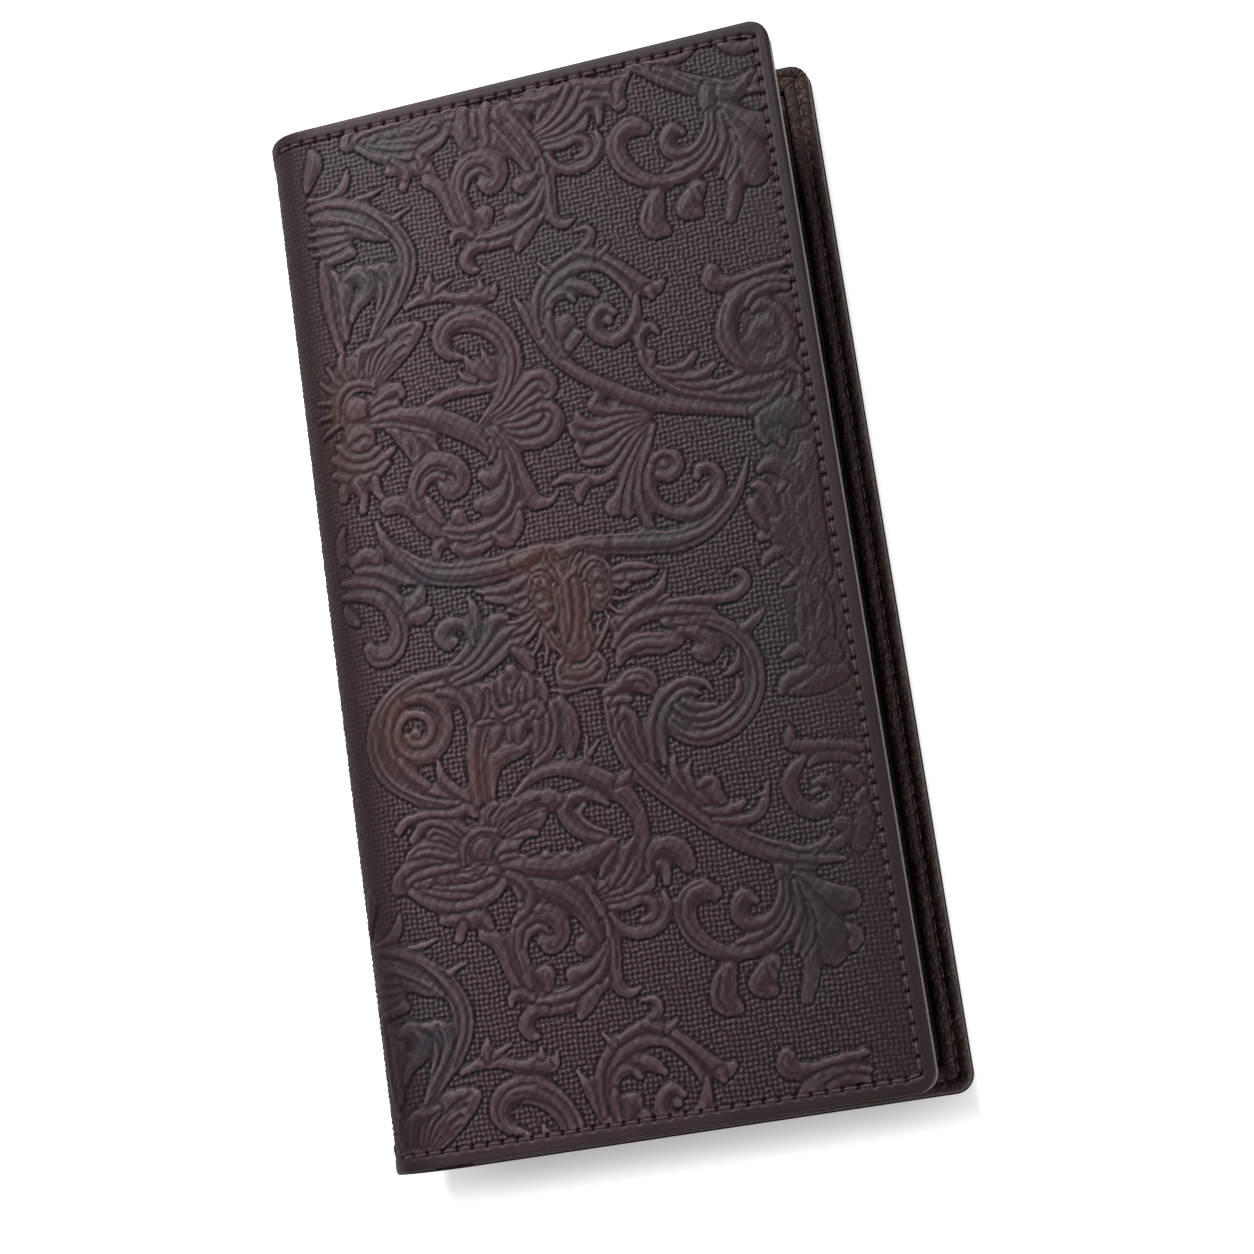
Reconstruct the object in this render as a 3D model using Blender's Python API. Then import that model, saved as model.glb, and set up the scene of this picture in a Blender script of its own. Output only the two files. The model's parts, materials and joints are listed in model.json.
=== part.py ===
"""Long bifold wallet in embossed leather, lying on its back cover with the front half lifted.

Every piece is modelled as if the wallet lay open and flat, inner side up: the back half at +X,
three spine strips, then the front half at -X. Empties on the fold lines then turn the strips and
the front half over the back half. Lengths are in metres, +Z is up, Y runs along the wallet.
"""

import math

import bmesh
import bpy
from mathutils import Vector

MM = 0.001

# Overall sizes
LENGTH = 190 * MM
HALF_WIDTH = 92.6 * MM
CORNER_RADIUS = 3.5 * MM
CLEARANCE = 0.3 * MM

# The fold: three strips of leather between four fold lines
SPINE_STRIP_WIDTH = 7.25 * MM
OPENING_ANGLE = math.radians(6)
FOLD_SHARES = (0.178, 0.243, 0.275, 0.304)
FOLD_GAP = 0.6 * MM
FOLD_EDGE_ROUND = 0.6 * MM

# Sheet thicknesses
LEATHER = 1.4 * MM
LINING = 0.3 * MM
BACKING = 0.3 * MM
BORDER_LEATHER = 1.4 * MM
PANEL_LEATHER = 0.7 * MM
POCKET_LEATHER = 0.5 * MM

# Inner layout
LINING_INSET = 0.8 * MM
PANEL_START = 4 * MM
BORDER_WIDTH = 5 * MM
BORDER_INNER_RADIUS = 1.5 * MM
SEAM_INSET = 2.5 * MM
SEAM_START = 3 * MM
THREAD_WIDTH = 0.6 * MM
THREAD_THICKNESS = 0.35 * MM
THREAD_RECESS = 0.1 * MM

# Card slots of the back half
CARD_SLOT_COUNT = 4
CARD_SLOT_STEP = 12 * MM
CARD_SLOT_DEPTH = 45 * MM
CARD_SLOT_END_MARGIN = 2 * MM
CARD_SLOT_SIDE_MARGIN = 1.2 * MM
SLOT_CORNER_RADIUS = 1 * MM
SLOT_SEAM_MARGIN = 1.5 * MM

# Slip pockets of the front half
SLIP_POCKET_COUNT = 2
SLIP_POCKET_START = 6 * MM
SLIP_POCKET_STEP = 13 * MM
SLIP_POCKET_DEPTH = 46 * MM

# Zip of the coin pocket
ZIP_DISTANCE = 66 * MM
ZIP_END_MARGIN = 20 * MM
ZIP_WINDOW_WIDTH = 10 * MM
ZIP_TAPE_WIDTH = 9 * MM
ZIP_TAPE_OVERHANG = 7 * MM
ZIP_TAPE = 0.5 * MM
ZIP_TOOTH_PITCH = 3 * MM
ZIP_TOOTH_WIDTH = 1.1 * MM
ZIP_TOOTH_REACH = 2 * MM
ZIP_TOOTH_OVERLAP = 0.6 * MM
ZIP_BEAD_WIDTH = 1 * MM
ZIP_TEETH_HEIGHT = 1.2 * MM
ZIP_STOP_LENGTH = 2.4 * MM
ZIP_STOP_MARGIN = 3.3 * MM

# Slider and pull of the zip
SLIDER_LENGTH = 9 * MM
SLIDER_WIDTH = 7.6 * MM
SLIDER_PLATE = 0.7 * MM
SLIDER_WALL = 0.6 * MM
BRIDGE_LENGTH = 6 * MM
BRIDGE_WIDTH = 1.4 * MM
BRIDGE_THICKNESS = 0.7 * MM
PULL_BAR = 1 * MM
PULL_SIDE = 1.2 * MM
PULL_LENGTH = 17 * MM
PULL_WIDTH = 5.4 * MM
PULL_THICKNESS = 1 * MM

# Heights above the outer face of a half, layer by layer
LINING_BASE = LEATHER + CLEARANCE
BACKING_BASE = LINING_BASE + LINING + CLEARANCE
PANEL_BASE = BACKING_BASE + BACKING + CLEARANCE
PANEL_TOP = PANEL_BASE + PANEL_LEATHER
FRONT_PANEL_BASE = PANEL_BASE + ZIP_TAPE + CLEARANCE
FRONT_PANEL_TOP = FRONT_PANEL_BASE + PANEL_LEATHER
TEETH_BASE = PANEL_BASE + ZIP_TAPE + CLEARANCE
TEETH_TOP = TEETH_BASE + ZIP_TEETH_HEIGHT
SLIDER_BASE = FRONT_PANEL_TOP + CLEARANCE
SLIDER_TOP = max(TEETH_TOP, SLIDER_BASE) + CLEARANCE + SLIDER_PLATE
PULL_AXIS_HEIGHT = SLIDER_TOP + CLEARANCE + PULL_BAR / 2

# Turn of each fold line away from the open flat wallet, and where the lining stops short of it
TOTAL_TURN = math.pi - OPENING_ANGLE
FOLD_TURNS = [share * TOTAL_TURN / sum(FOLD_SHARES) for share in FOLD_SHARES]
LARGEST_TURN = max(FOLD_TURNS) * math.pi / TOTAL_TURN
LINING_TOP_OVER_AXIS = LINING_BASE + LINING - LEATHER / 2
LINING_FOLD_MARGIN = LINING_TOP_OVER_AXIS * math.tan(LARGEST_TURN / 2) + CLEARANCE / 2

# Length of the zip's window, teeth and tapes, centred on the front half
ZIP_WINDOW_LENGTH = LENGTH - 2 * ZIP_END_MARGIN
ZIP_TEETH_LENGTH = ZIP_WINDOW_LENGTH - 2 * (ZIP_STOP_MARGIN + ZIP_STOP_LENGTH + CLEARANCE)
ZIP_TAPE_LENGTH = ZIP_WINDOW_LENGTH + 2 * ZIP_TAPE_OVERHANG

ARC_STEPS = 6
BACK = 1
FRONT = -1

COLOURS = {
    "embossed_leather": ((0.055, 0.036, 0.034), 0.5, 0.0),
    "pebbled_leather": ((0.034, 0.024, 0.022), 0.55, 0.0),
    "lining_cloth": ((0.03, 0.026, 0.026), 0.9, 0.0),
    "thread": ((0.022, 0.01, 0.01), 0.6, 0.0),
    "zip_tape": ((0.012, 0.011, 0.011), 0.85, 0.0),
    "zip_metal": ((0.42, 0.33, 0.2), 0.35, 1.0),
}


def clear_scene():
    """Remove whatever the scene held before."""
    for thing in list(bpy.data.objects):
        bpy.data.objects.remove(thing, do_unlink=True)


def material(name):
    """One Principled material for each kind of piece, made once."""
    made = bpy.data.materials.get(name)
    if made is not None:
        return made
    colour, roughness, metallic = COLOURS[name]
    made = bpy.data.materials.new(name)
    made.use_nodes = True
    shader = made.node_tree.nodes["Principled BSDF"]
    shader.inputs["Base Color"].default_value = (*colour, 1)
    shader.inputs["Roughness"].default_value = roughness
    shader.inputs["Metallic"].default_value = metallic
    return made


def empty(name, parent, location, turn=0.0):
    """A fold line or a pivot: an empty that its pieces hang from."""
    made = bpy.data.objects.new(name, None)
    made.empty_display_size = 10 * MM
    made.parent = parent
    made.location = location
    made.rotation_euler = (0, turn, 0)
    bpy.context.collection.objects.link(made)
    return made


def add_object(name, mesh_maker, parent, slot):
    """Turn a bmesh into a named object under its parent."""
    bmesh.ops.recalc_face_normals(mesh_maker, faces=mesh_maker.faces)
    mesh = bpy.data.meshes.new(name)
    mesh_maker.to_mesh(mesh)
    mesh_maker.free()
    mesh.materials.append(material(slot))
    made = bpy.data.objects.new(name, mesh)
    made.parent = parent
    bpy.context.collection.objects.link(made)
    return made


def arc(centre, radius, start, end, steps=ARC_STEPS):
    """Points along an arc, angles in degrees."""
    points = []
    for step in range(steps + 1):
        angle = math.radians(start + (end - start) * step / steps)
        points.append((centre[0] + radius * math.cos(angle), centre[1] + radius * math.sin(angle)))
    return points


def rounded_end_outline(near, far, half_length, radius):
    """A rectangle from near to far whose two corners at far are rounded."""
    low = arc((far - radius, radius - half_length), radius, -90, 0)
    high = arc((far - radius, half_length - radius), radius, 0, 90)
    return [(near, -half_length)] + low + high + [(near, half_length)]


def rectangle(low_x, low_y, high_x, high_y):
    return [(low_x, low_y), (high_x, low_y), (high_x, high_y), (low_x, high_y)]


def frame_outline(near, inset, width, outer_radius, inner_radius):
    """A U that follows three edges of a half, open towards the fold."""
    far = HALF_WIDTH - inset
    half_length = LENGTH / 2 - inset
    inner_far = far - width
    inner_half = half_length - width
    outer = rounded_end_outline(near, far, half_length, outer_radius)
    inner = rounded_end_outline(near, inner_far, inner_half, inner_radius)
    return outer + list(reversed(inner))


def extruded(corners, along):
    """A closed solid: a flat face of the given corners, swept along a vector."""
    made = bmesh.new()
    face = made.faces.new([made.verts.new(corner) for corner in corners])
    lifted = bmesh.ops.extrude_face_region(made, geom=[face])
    verts = [item for item in lifted["geom"] if isinstance(item, bmesh.types.BMVert)]
    bmesh.ops.translate(made, verts=verts, vec=along)
    return made


def slab(points, low, high, side=BACK):
    """Extrude an outline in X and Y from height low to height high."""
    return extruded([(side * x, y, low) for x, y in points], (0, 0, high - low))


def round_fold_edges(made, places, radius):
    """Round the long edges that face a fold line, at the given x."""
    edges = []
    for edge in made.edges:
        first, second = edge.verts
        along = abs(first.co.y - second.co.y) > LENGTH / 2
        if along and any(abs(first.co.x - x) < CLEARANCE / 10 for x in places):
            edges.append(edge)
    bmesh.ops.bevel(made, geom=edges, offset=radius, segments=3, profile=0.5, affect="EDGES")


def combine(target, tool, operation):
    """Join a second shape to a piece, or cut it out, with an exact Boolean."""
    tool.hide_render = True
    tool.display_type = "WIRE"
    modifier = target.modifiers.new(tool.name, "BOOLEAN")
    modifier.operation = operation
    modifier.solver = "EXACT"
    modifier.object = tool


def cut(target, cutter_mesh, parent, name):
    """Cut a shape out of a piece."""
    combine(target, add_object(name, cutter_mesh, parent, "thread"), "DIFFERENCE")


def seam_outline(extra):
    """The line of a perimeter seam as a U, wider than the thread by extra on each side."""
    inset = SEAM_INSET - THREAD_WIDTH / 2 - extra
    width = THREAD_WIDTH + 2 * extra
    return frame_outline(SEAM_START - extra, inset, width, width, width / 4)


def cover(name, parent, side):
    """Outer leather of one half, with a groove for the seam in its outer face."""
    near = FOLD_GAP / 2
    outline = rounded_end_outline(near, HALF_WIDTH, LENGTH / 2, CORNER_RADIUS)
    made = slab(outline, -LEATHER / 2, LEATHER / 2, side)
    round_fold_edges(made, [side * near], FOLD_EDGE_ROUND)
    leather = add_object(name, made, parent, "embossed_leather")
    depth = THREAD_RECESS + THREAD_THICKNESS + CLEARANCE
    groove = slab(seam_outline(CLEARANCE), -LEATHER, depth - LEATHER / 2, side)
    cut(leather, groove, parent, name + "_groove")
    return leather


def outer_thread(name, parent, side):
    """Thread of the perimeter seam, just under the outer face of the cover."""
    base = THREAD_RECESS - LEATHER / 2
    thread = slab(seam_outline(0), base, base + THREAD_THICKNESS, side)
    add_object(name, thread, parent, "thread")


def border(name, parent, side, base):
    """Turned leather edge round three sides of an inner panel, with a groove for its seam."""
    low = base - LEATHER / 2
    high = low + BORDER_LEATHER
    outline = frame_outline(PANEL_START, 0, BORDER_WIDTH, CORNER_RADIUS, BORDER_INNER_RADIUS)
    band = add_object(name, slab(outline, low, high, side), parent, "pebbled_leather")
    depth = THREAD_RECESS + THREAD_THICKNESS + CLEARANCE
    groove = slab(seam_outline(CLEARANCE), high - depth, high + depth, side)
    cut(band, groove, parent, name + "_groove")


def inner_thread(name, parent, side, base):
    """The same seam seen on the border."""
    top = base + BORDER_LEATHER - LEATHER / 2 - THREAD_RECESS
    inset = SEAM_INSET - THREAD_WIDTH / 2
    outline = frame_outline(PANEL_START + CLEARANCE, inset, THREAD_WIDTH, THREAD_WIDTH, THREAD_WIDTH / 4)
    add_object(name, slab(outline, top - THREAD_THICKNESS, top, side), parent, "thread")


def inner_sheet(name, parent, side, near, inset, base, thickness, radius, slot):
    """A flat sheet inside a half, at a height over the outer face."""
    outline = rounded_end_outline(near, HALF_WIDTH - inset, LENGTH / 2 - inset, radius)
    low = base - LEATHER / 2
    return add_object(name, slab(outline, low, low + thickness, side), parent, slot)


def half_linings(parent, side, lining_name, backing_name):
    """Cloth behind the cover, and the backing of the inner panel."""
    radius = CORNER_RADIUS - LINING_INSET
    inner_sheet(lining_name, parent, side, LINING_FOLD_MARGIN, LINING_INSET, LINING_BASE, LINING,
                radius, "lining_cloth")
    inner_sheet(backing_name, parent, side, PANEL_START, LINING_INSET, BACKING_BASE, BACKING,
                radius, "lining_cloth")


def spine_strip(number, parent):
    """One strip of the folded leather, and the lining strip inside it."""
    near = FOLD_GAP / 2
    far = SPINE_STRIP_WIDTH - FOLD_GAP / 2
    outline = rectangle(-far, -LENGTH / 2, -near, LENGTH / 2)
    strip = slab(outline, -LEATHER / 2, LEATHER / 2)
    round_fold_edges(strip, [-near, -far], FOLD_EDGE_ROUND)
    add_object(f"spine_leather_{number}", strip, parent, "embossed_leather")
    half_length = LENGTH / 2 - LINING_INSET
    lining_far = SPINE_STRIP_WIDTH - LINING_FOLD_MARGIN
    outline = rectangle(-lining_far, -half_length, -LINING_FOLD_MARGIN, half_length)
    base = LINING_BASE - LEATHER / 2
    add_object(f"spine_lining_{number}", slab(outline, base, base + LINING), parent, "lining_cloth")


def card_slots(parent):
    """Card slots of the back half: each next one lies on the last and starts further out."""
    end = HALF_WIDTH - BORDER_WIDTH - CARD_SLOT_END_MARGIN
    half_length = LENGTH / 2 - BORDER_WIDTH - CARD_SLOT_SIDE_MARGIN
    first_mouth = end - CARD_SLOT_DEPTH - (CARD_SLOT_COUNT - 1) * CARD_SLOT_STEP
    base = PANEL_TOP + CLEARANCE - LEATHER / 2
    steps = []
    for number in range(CARD_SLOT_COUNT):
        mouth = first_mouth + number * CARD_SLOT_STEP
        outline = rounded_end_outline(mouth, end, half_length, SLOT_CORNER_RADIUS)
        pocket = slab(outline, base, base + POCKET_LEATHER)
        add_object(f"card_slot_{number + 1}", pocket, parent, "pebbled_leather")
        base += POCKET_LEATHER + CLEARANCE
        steps.append((mouth, base))
    slot_divider_seam(parent, steps, end)


def slot_divider_seam(parent, steps, end):
    """Seam that divides the card slots into two columns: a ribbon that climbs over the slots."""
    first_mouth, height = steps[0]
    lower = [(first_mouth + SLOT_SEAM_MARGIN, height)]
    for mouth, next_height in steps[1:]:
        lower += [(mouth - CLEARANCE, height), (mouth - CLEARANCE, next_height)]
        height = next_height
    lower.append((end - SLOT_SEAM_MARGIN, height))
    upper = [(x - THREAD_THICKNESS, z + THREAD_THICKNESS) for x, z in lower[1:-1]]
    upper.insert(0, (lower[0][0], lower[0][1] + THREAD_THICKNESS))
    upper.append((lower[-1][0], lower[-1][1] + THREAD_THICKNESS))
    corners = [(x, -THREAD_WIDTH / 2, z) for x, z in lower + list(reversed(upper))]
    ribbon = extruded(corners, (0, THREAD_WIDTH, 0))
    add_object("card_slot_divider_thread", ribbon, parent, "thread")


def slip_pockets(parent):
    """Two long pockets between the fold and the zip of the front half."""
    half_length = LENGTH / 2 - BORDER_WIDTH - CARD_SLOT_SIDE_MARGIN
    base = FRONT_PANEL_TOP + CLEARANCE - LEATHER / 2
    for number in range(SLIP_POCKET_COUNT):
        mouth = SLIP_POCKET_START + number * SLIP_POCKET_STEP
        end = SLIP_POCKET_START + SLIP_POCKET_DEPTH
        outline = rounded_end_outline(mouth, end, half_length, SLOT_CORNER_RADIUS)
        pocket = slab(outline, base, base + POCKET_LEATHER, FRONT)
        add_object(f"slip_pocket_{number + 1}", pocket, parent, "pebbled_leather")
        base += POCKET_LEATHER + CLEARANCE


def front_panel(parent):
    """Inner panel of the front half, with a window for the zip."""
    inset = BORDER_WIDTH + CLEARANCE
    panel = inner_sheet("front_inner_panel", parent, FRONT, PANEL_START, inset, FRONT_PANEL_BASE,
                        PANEL_LEATHER, BORDER_INNER_RADIUS, "pebbled_leather")
    half_width = ZIP_WINDOW_WIDTH / 2
    half_length = ZIP_WINDOW_LENGTH / 2
    outline = rectangle(ZIP_DISTANCE - half_width, -half_length, ZIP_DISTANCE + half_width, half_length)
    cut(panel, slab(outline, -LEATHER, LENGTH / 10, FRONT), parent, "zip_window")


def zip_tapes(parent):
    """Cloth tapes under the edges of the zip window."""
    low = PANEL_BASE - LEATHER / 2
    half_length = ZIP_TAPE_LENGTH / 2
    for name, away in (("zip_tape_spine_side", -1), ("zip_tape_fore_side", 1)):
        near = ZIP_DISTANCE + away * CLEARANCE / 2
        far = near + away * ZIP_TAPE_WIDTH
        outline = rectangle(min(near, far), -half_length, max(near, far), half_length)
        add_object(name, slab(outline, low, low + ZIP_TAPE, FRONT), parent, "zip_tape")


def tooth_row(name, parent, away, shift):
    """A row of zip teeth on its bead: a comb that points at the other row."""
    tip = ZIP_DISTANCE - away * ZIP_TOOTH_OVERLAP / 2
    root = tip + away * ZIP_TOOTH_REACH
    outer = root + away * ZIP_BEAD_WIDTH
    start = -ZIP_TEETH_LENGTH / 2
    points = [(outer, start), (root, start)]
    for number in range(int(ZIP_TEETH_LENGTH / ZIP_TOOTH_PITCH)):
        low = start + (number + 0.25 + shift) * ZIP_TOOTH_PITCH - ZIP_TOOTH_WIDTH / 2
        high = low + ZIP_TOOTH_WIDTH
        points += [(root, low), (tip, low), (tip, high), (root, high)]
    points += [(root, -start), (outer, -start)]
    low = TEETH_BASE - LEATHER / 2
    add_object(name, slab(points, low, low + ZIP_TEETH_HEIGHT, FRONT), parent, "zip_metal")


def zip_stop(name, parent, end):
    """A metal staple that closes one end of the teeth."""
    half_width = ZIP_TOOTH_REACH + ZIP_BEAD_WIDTH - ZIP_TOOTH_OVERLAP / 2
    near = end * (ZIP_TEETH_LENGTH / 2 + CLEARANCE)
    far = near + end * ZIP_STOP_LENGTH
    outline = rectangle(ZIP_DISTANCE - half_width, min(near, far), ZIP_DISTANCE + half_width, max(near, far))
    low = TEETH_BASE - LEATHER / 2
    add_object(name, slab(outline, low, low + ZIP_TEETH_HEIGHT, FRONT), parent, "zip_metal")


def zip_slider(parent):
    """Slider body: a plate over the teeth with two side walls and a bridge for the pull."""
    half_width = SLIDER_WIDTH / 2
    top = SLIDER_TOP - LEATHER / 2
    under = top - SLIDER_PLATE
    wall_base = TEETH_BASE - LEATHER / 2
    inner = half_width - SLIDER_WALL
    section = [(-half_width, wall_base), (-inner, wall_base), (-inner, under), (inner, under),
               (inner, wall_base), (half_width, wall_base), (half_width, top), (-half_width, top)]
    shell = extruded([(x, -SLIDER_LENGTH / 2, z) for x, z in section], (0, SLIDER_LENGTH, 0))
    body = add_object("zip_slider", shell, parent, "zip_metal")
    foot = BRIDGE_LENGTH / 2
    opening = foot - BRIDGE_THICKNESS
    sunk = top - SLIDER_PLATE / 2
    ceiling = PULL_AXIS_HEIGHT - LEATHER / 2 + PULL_BAR / 2 + CLEARANCE
    crown = ceiling + BRIDGE_THICKNESS
    side_view = [(-foot, sunk), (-opening, sunk), (-opening, ceiling), (opening, ceiling),
                 (opening, sunk), (foot, sunk), (foot, crown), (-foot, crown)]
    bridge = extruded([(-BRIDGE_WIDTH / 2, y, z) for y, z in side_view], (BRIDGE_WIDTH, 0, 0))
    arch = add_object("zip_slider_bridge", bridge, parent, "zip_metal")
    combine(body, arch, "UNION")


def zip_pull(parent):
    """Pull: a ring round the bridge of the slider that widens into a flat tab."""
    inner = BRIDGE_WIDTH / 2 + CLEARANCE
    outer = inner + PULL_SIDE
    window = BRIDGE_LENGTH / 2 + CLEARANCE + PULL_BAR
    half_bar = PULL_BAR / 2
    shoulder = window + PULL_SIDE
    tab = arc((0, PULL_LENGTH - PULL_WIDTH / 2), PULL_WIDTH / 2, 0, 180)
    outline = [(-outer, -half_bar), (outer, -half_bar), (outer, window), (PULL_WIDTH / 2, shoulder)]
    outline += tab + [(-PULL_WIDTH / 2, shoulder), (-outer, window)]
    half = PULL_THICKNESS / 2
    pull = add_object("zip_pull", slab(outline, -half, half), parent, "zip_metal")
    hole = slab(rectangle(-inner, half_bar, inner, window), -PULL_THICKNESS, PULL_THICKNESS)
    cut(pull, hole, parent, "zip_pull_window")


def back_half(origin):
    """Everything that lies still: the back cover, its pocket layers and its seams."""
    cover("back_cover", origin, BACK)
    outer_thread("back_cover_thread", origin, BACK)
    half_linings(origin, BACK, "back_lining", "back_panel_backing")
    inset = BORDER_WIDTH + CLEARANCE
    inner_sheet("back_inner_panel", origin, BACK, PANEL_START, inset, PANEL_BASE, PANEL_LEATHER,
                BORDER_INNER_RADIUS, "pebbled_leather")
    border("back_border", origin, BACK, PANEL_BASE)
    inner_thread("back_border_thread", origin, BACK, PANEL_BASE)
    card_slots(origin)


def front_half(origin):
    """The half that swings: front cover, coin pocket with its zip, and slip pockets."""
    cover("front_cover", origin, FRONT)
    outer_thread("front_cover_thread", origin, FRONT)
    half_linings(origin, FRONT, "front_lining", "coin_pocket_lining")
    front_panel(origin)
    border("front_border", origin, FRONT, FRONT_PANEL_BASE)
    inner_thread("front_border_thread", origin, FRONT, FRONT_PANEL_BASE)
    slip_pockets(origin)
    zip_tapes(origin)
    tooth_row("zip_teeth_spine_side", origin, -1, 0)
    tooth_row("zip_teeth_fore_side", origin, 1, 0.5)
    zip_stop("zip_top_stop", origin, 1)
    zip_stop("zip_bottom_stop", origin, -1)
    closed_place = ZIP_TEETH_LENGTH / 2 - SLIDER_LENGTH / 2 - CLEARANCE
    slider = empty("zip_slider_place", origin, (-ZIP_DISTANCE, closed_place, 0))
    zip_slider(slider)
    pivot = empty("zip_pull_axis", slider, (0, 0, PULL_AXIS_HEIGHT - LEATHER / 2))
    turned = empty("zip_pull_side", pivot, (0, 0, 0))
    turned.rotation_euler = (0, 0, math.pi)
    zip_pull(turned)


def set_origin(origin):
    """Stand the wallet on z = 0 with the middle of its box over the origin."""
    bpy.context.view_layer.update()
    low = Vector((math.inf, math.inf, math.inf))
    high = -low
    for thing in bpy.data.objects:
        if thing.type != "MESH" or thing.hide_render:
            continue
        for corner in thing.data.vertices:
            place = thing.matrix_world @ corner.co
            low = Vector(map(min, low, place))
            high = Vector(map(max, high, place))
    middle = (low + high) / 2
    origin.location = (-middle.x, -middle.y, -low.z)
    bpy.context.view_layer.update()
    print("size in mm", [round(side / MM, 2) for side in high - low])


def main():
    clear_scene()
    origin = empty("wallet_origin", None, (0, 0, 0))
    back_half(origin)
    fold = empty("fold_1", origin, (0, 0, 0), FOLD_TURNS[0])
    for number, turn in enumerate(FOLD_TURNS[1:], start=1):
        spine_strip(number, fold)
        fold = empty(f"fold_{number + 1}", fold, (-SPINE_STRIP_WIDTH, 0, 0), turn)
    front_half(fold)
    set_origin(origin)
    for thing in bpy.data.objects:
        if thing.type == "EMPTY":
            place = [round(value / MM, 3) for value in thing.matrix_world.translation]
            print(thing.name, "at", place, "mm")


main()
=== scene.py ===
# %% [markdown]
# # A long bifold wallet in tooled leather
# The wallet is one long sheet of thick leather, tooled all over and folded round a soft spine. Cloth
# linings, pebbled inner leathers, card slots and a zipped coin pocket are sewn inside it. The CAD frame
# gives every size, body and joint. This script dresses it: the leather sheet with its tooling, the seams,
# the puffy bands inside, the small parts of the zip, the materials, the light and the camera.

# %% The frame
import json
import math

import bpy
import numpy as np
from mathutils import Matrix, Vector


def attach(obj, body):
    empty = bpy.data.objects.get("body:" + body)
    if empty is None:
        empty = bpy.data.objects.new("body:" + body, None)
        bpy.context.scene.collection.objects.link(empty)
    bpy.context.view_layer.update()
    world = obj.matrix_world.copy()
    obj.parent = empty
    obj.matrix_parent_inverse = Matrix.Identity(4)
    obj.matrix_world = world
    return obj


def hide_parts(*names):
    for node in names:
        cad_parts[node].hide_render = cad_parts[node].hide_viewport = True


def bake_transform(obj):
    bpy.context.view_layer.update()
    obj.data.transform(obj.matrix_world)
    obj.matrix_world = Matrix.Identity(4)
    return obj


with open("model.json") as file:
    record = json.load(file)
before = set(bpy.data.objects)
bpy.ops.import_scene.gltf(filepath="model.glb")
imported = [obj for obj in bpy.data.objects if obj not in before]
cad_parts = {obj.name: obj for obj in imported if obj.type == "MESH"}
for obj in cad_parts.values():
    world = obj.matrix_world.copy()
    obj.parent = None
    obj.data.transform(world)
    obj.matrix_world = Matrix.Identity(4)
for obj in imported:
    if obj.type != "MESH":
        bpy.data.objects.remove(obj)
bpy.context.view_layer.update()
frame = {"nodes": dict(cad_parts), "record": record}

# %% [markdown]
# ## One section for every layer
# All layers follow one curve, seen from the wallet's end: flat back, four fold lines, flat front. The CAD
# strips of the spine stand for leather that bends evenly, so each corner is rounded from the middle of one
# strip to the middle of the next. A place on the sheet is given by its way along this curve, in millimetres
# from the last fold line, and its place along Y. The front is then 0 to 92.6, the spine is below 0, and the
# back is below that.

# %% The section
MM = 0.001
HALF_LENGTH = 95.0
HALF_WIDTH = 92.6
CORNER_RADIUS = 3.5
STRIP = 7.25
LEATHER = 1.4
WALL = LEATHER / 2
SLOPE = math.radians(6)
FOLDS = np.array([(-41.937, 0.7), (-48.153, 4.431), (-50.242, 11.374), (-46.497, 17.581)])
BACK_WAY = np.array([-1.0, 0.0])
FRONT_WAY = np.array([math.cos(SLOPE), math.sin(SLOPE)])
FOLD_PLACES = np.array([-3.0, -2.0, -1.0, 0.0]) * STRIP
BACK_START = FOLD_PLACES[0] - STRIP / 2
FRONT_START = STRIP / 2
BACK_END = FOLD_PLACES[0] - HALF_WIDTH


def section(places):
    """Point and outward normal (x, z) on the middle of the leather, in mm, for places along the sheet."""
    places = np.atleast_1d(np.asarray(places, float))
    points, ways = np.empty((places.size, 2)), np.empty((places.size, 2))
    back, front = places <= BACK_START, places >= FRONT_START
    points[back] = FOLDS[0] + (places[back, None] - FOLD_PLACES[0]) * BACK_WAY
    ways[back] = BACK_WAY
    points[front] = FOLDS[3] + places[front, None] * FRONT_WAY
    ways[front] = FRONT_WAY
    corners = [FOLDS[0] - BACK_WAY, *FOLDS, FOLDS[3] + FRONT_WAY]
    for index, centre in enumerate(FOLD_PLACES):
        inside = (np.abs(places - centre) <= STRIP / 2) & ~back & ~front
        fold = FOLDS[index]
        way_in, way_out = fold - corners[index], corners[index + 2] - fold
        start = fold - way_in / np.linalg.norm(way_in) * STRIP / 2
        end = fold + way_out / np.linalg.norm(way_out) * STRIP / 2
        t = ((places[inside] - centre) / STRIP + 0.5)[:, None]
        points[inside] = (1 - t) ** 2 * start + 2 * t * (1 - t) * fold + t ** 2 * end
        ways[inside] = (1 - t) * (fold - start) + t * (end - fold)
    ways /= np.linalg.norm(ways, axis=1, keepdims=True)
    return points, np.stack([-ways[:, 1], ways[:, 0]], 1)


def place_on_sheet(places, along, offset):
    """World points in metres for places on the sheet, an outward offset from the middle of the leather."""
    shape = np.broadcast_shapes(np.shape(places), np.shape(along), np.shape(offset))
    points, normals = section(np.broadcast_to(places, shape).ravel())
    flat = points + normals * np.broadcast_to(offset, shape).reshape(-1, 1)
    world = np.stack([flat[:, 0], np.broadcast_to(along, shape).ravel(), flat[:, 1]], 1) * MM
    return world.reshape(*shape, 3)


def flat_normal(place):
    """Outward normal (x, 0, z) of the sheet at a place on one of its flat halves."""
    normal = section([place])[1][0]
    return np.array([normal[0], 0, normal[1]])


print("section: folds at", FOLDS.tolist())

# %% [markdown]
# ## Small helpers
# Each piece starts as a primitive and is shaped by operators. A new primitive is selected all over and the
# CAD nodes stay selected after loading, so everything is deselected first. The steps in edit mode that many
# pieces share have names here.

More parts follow.
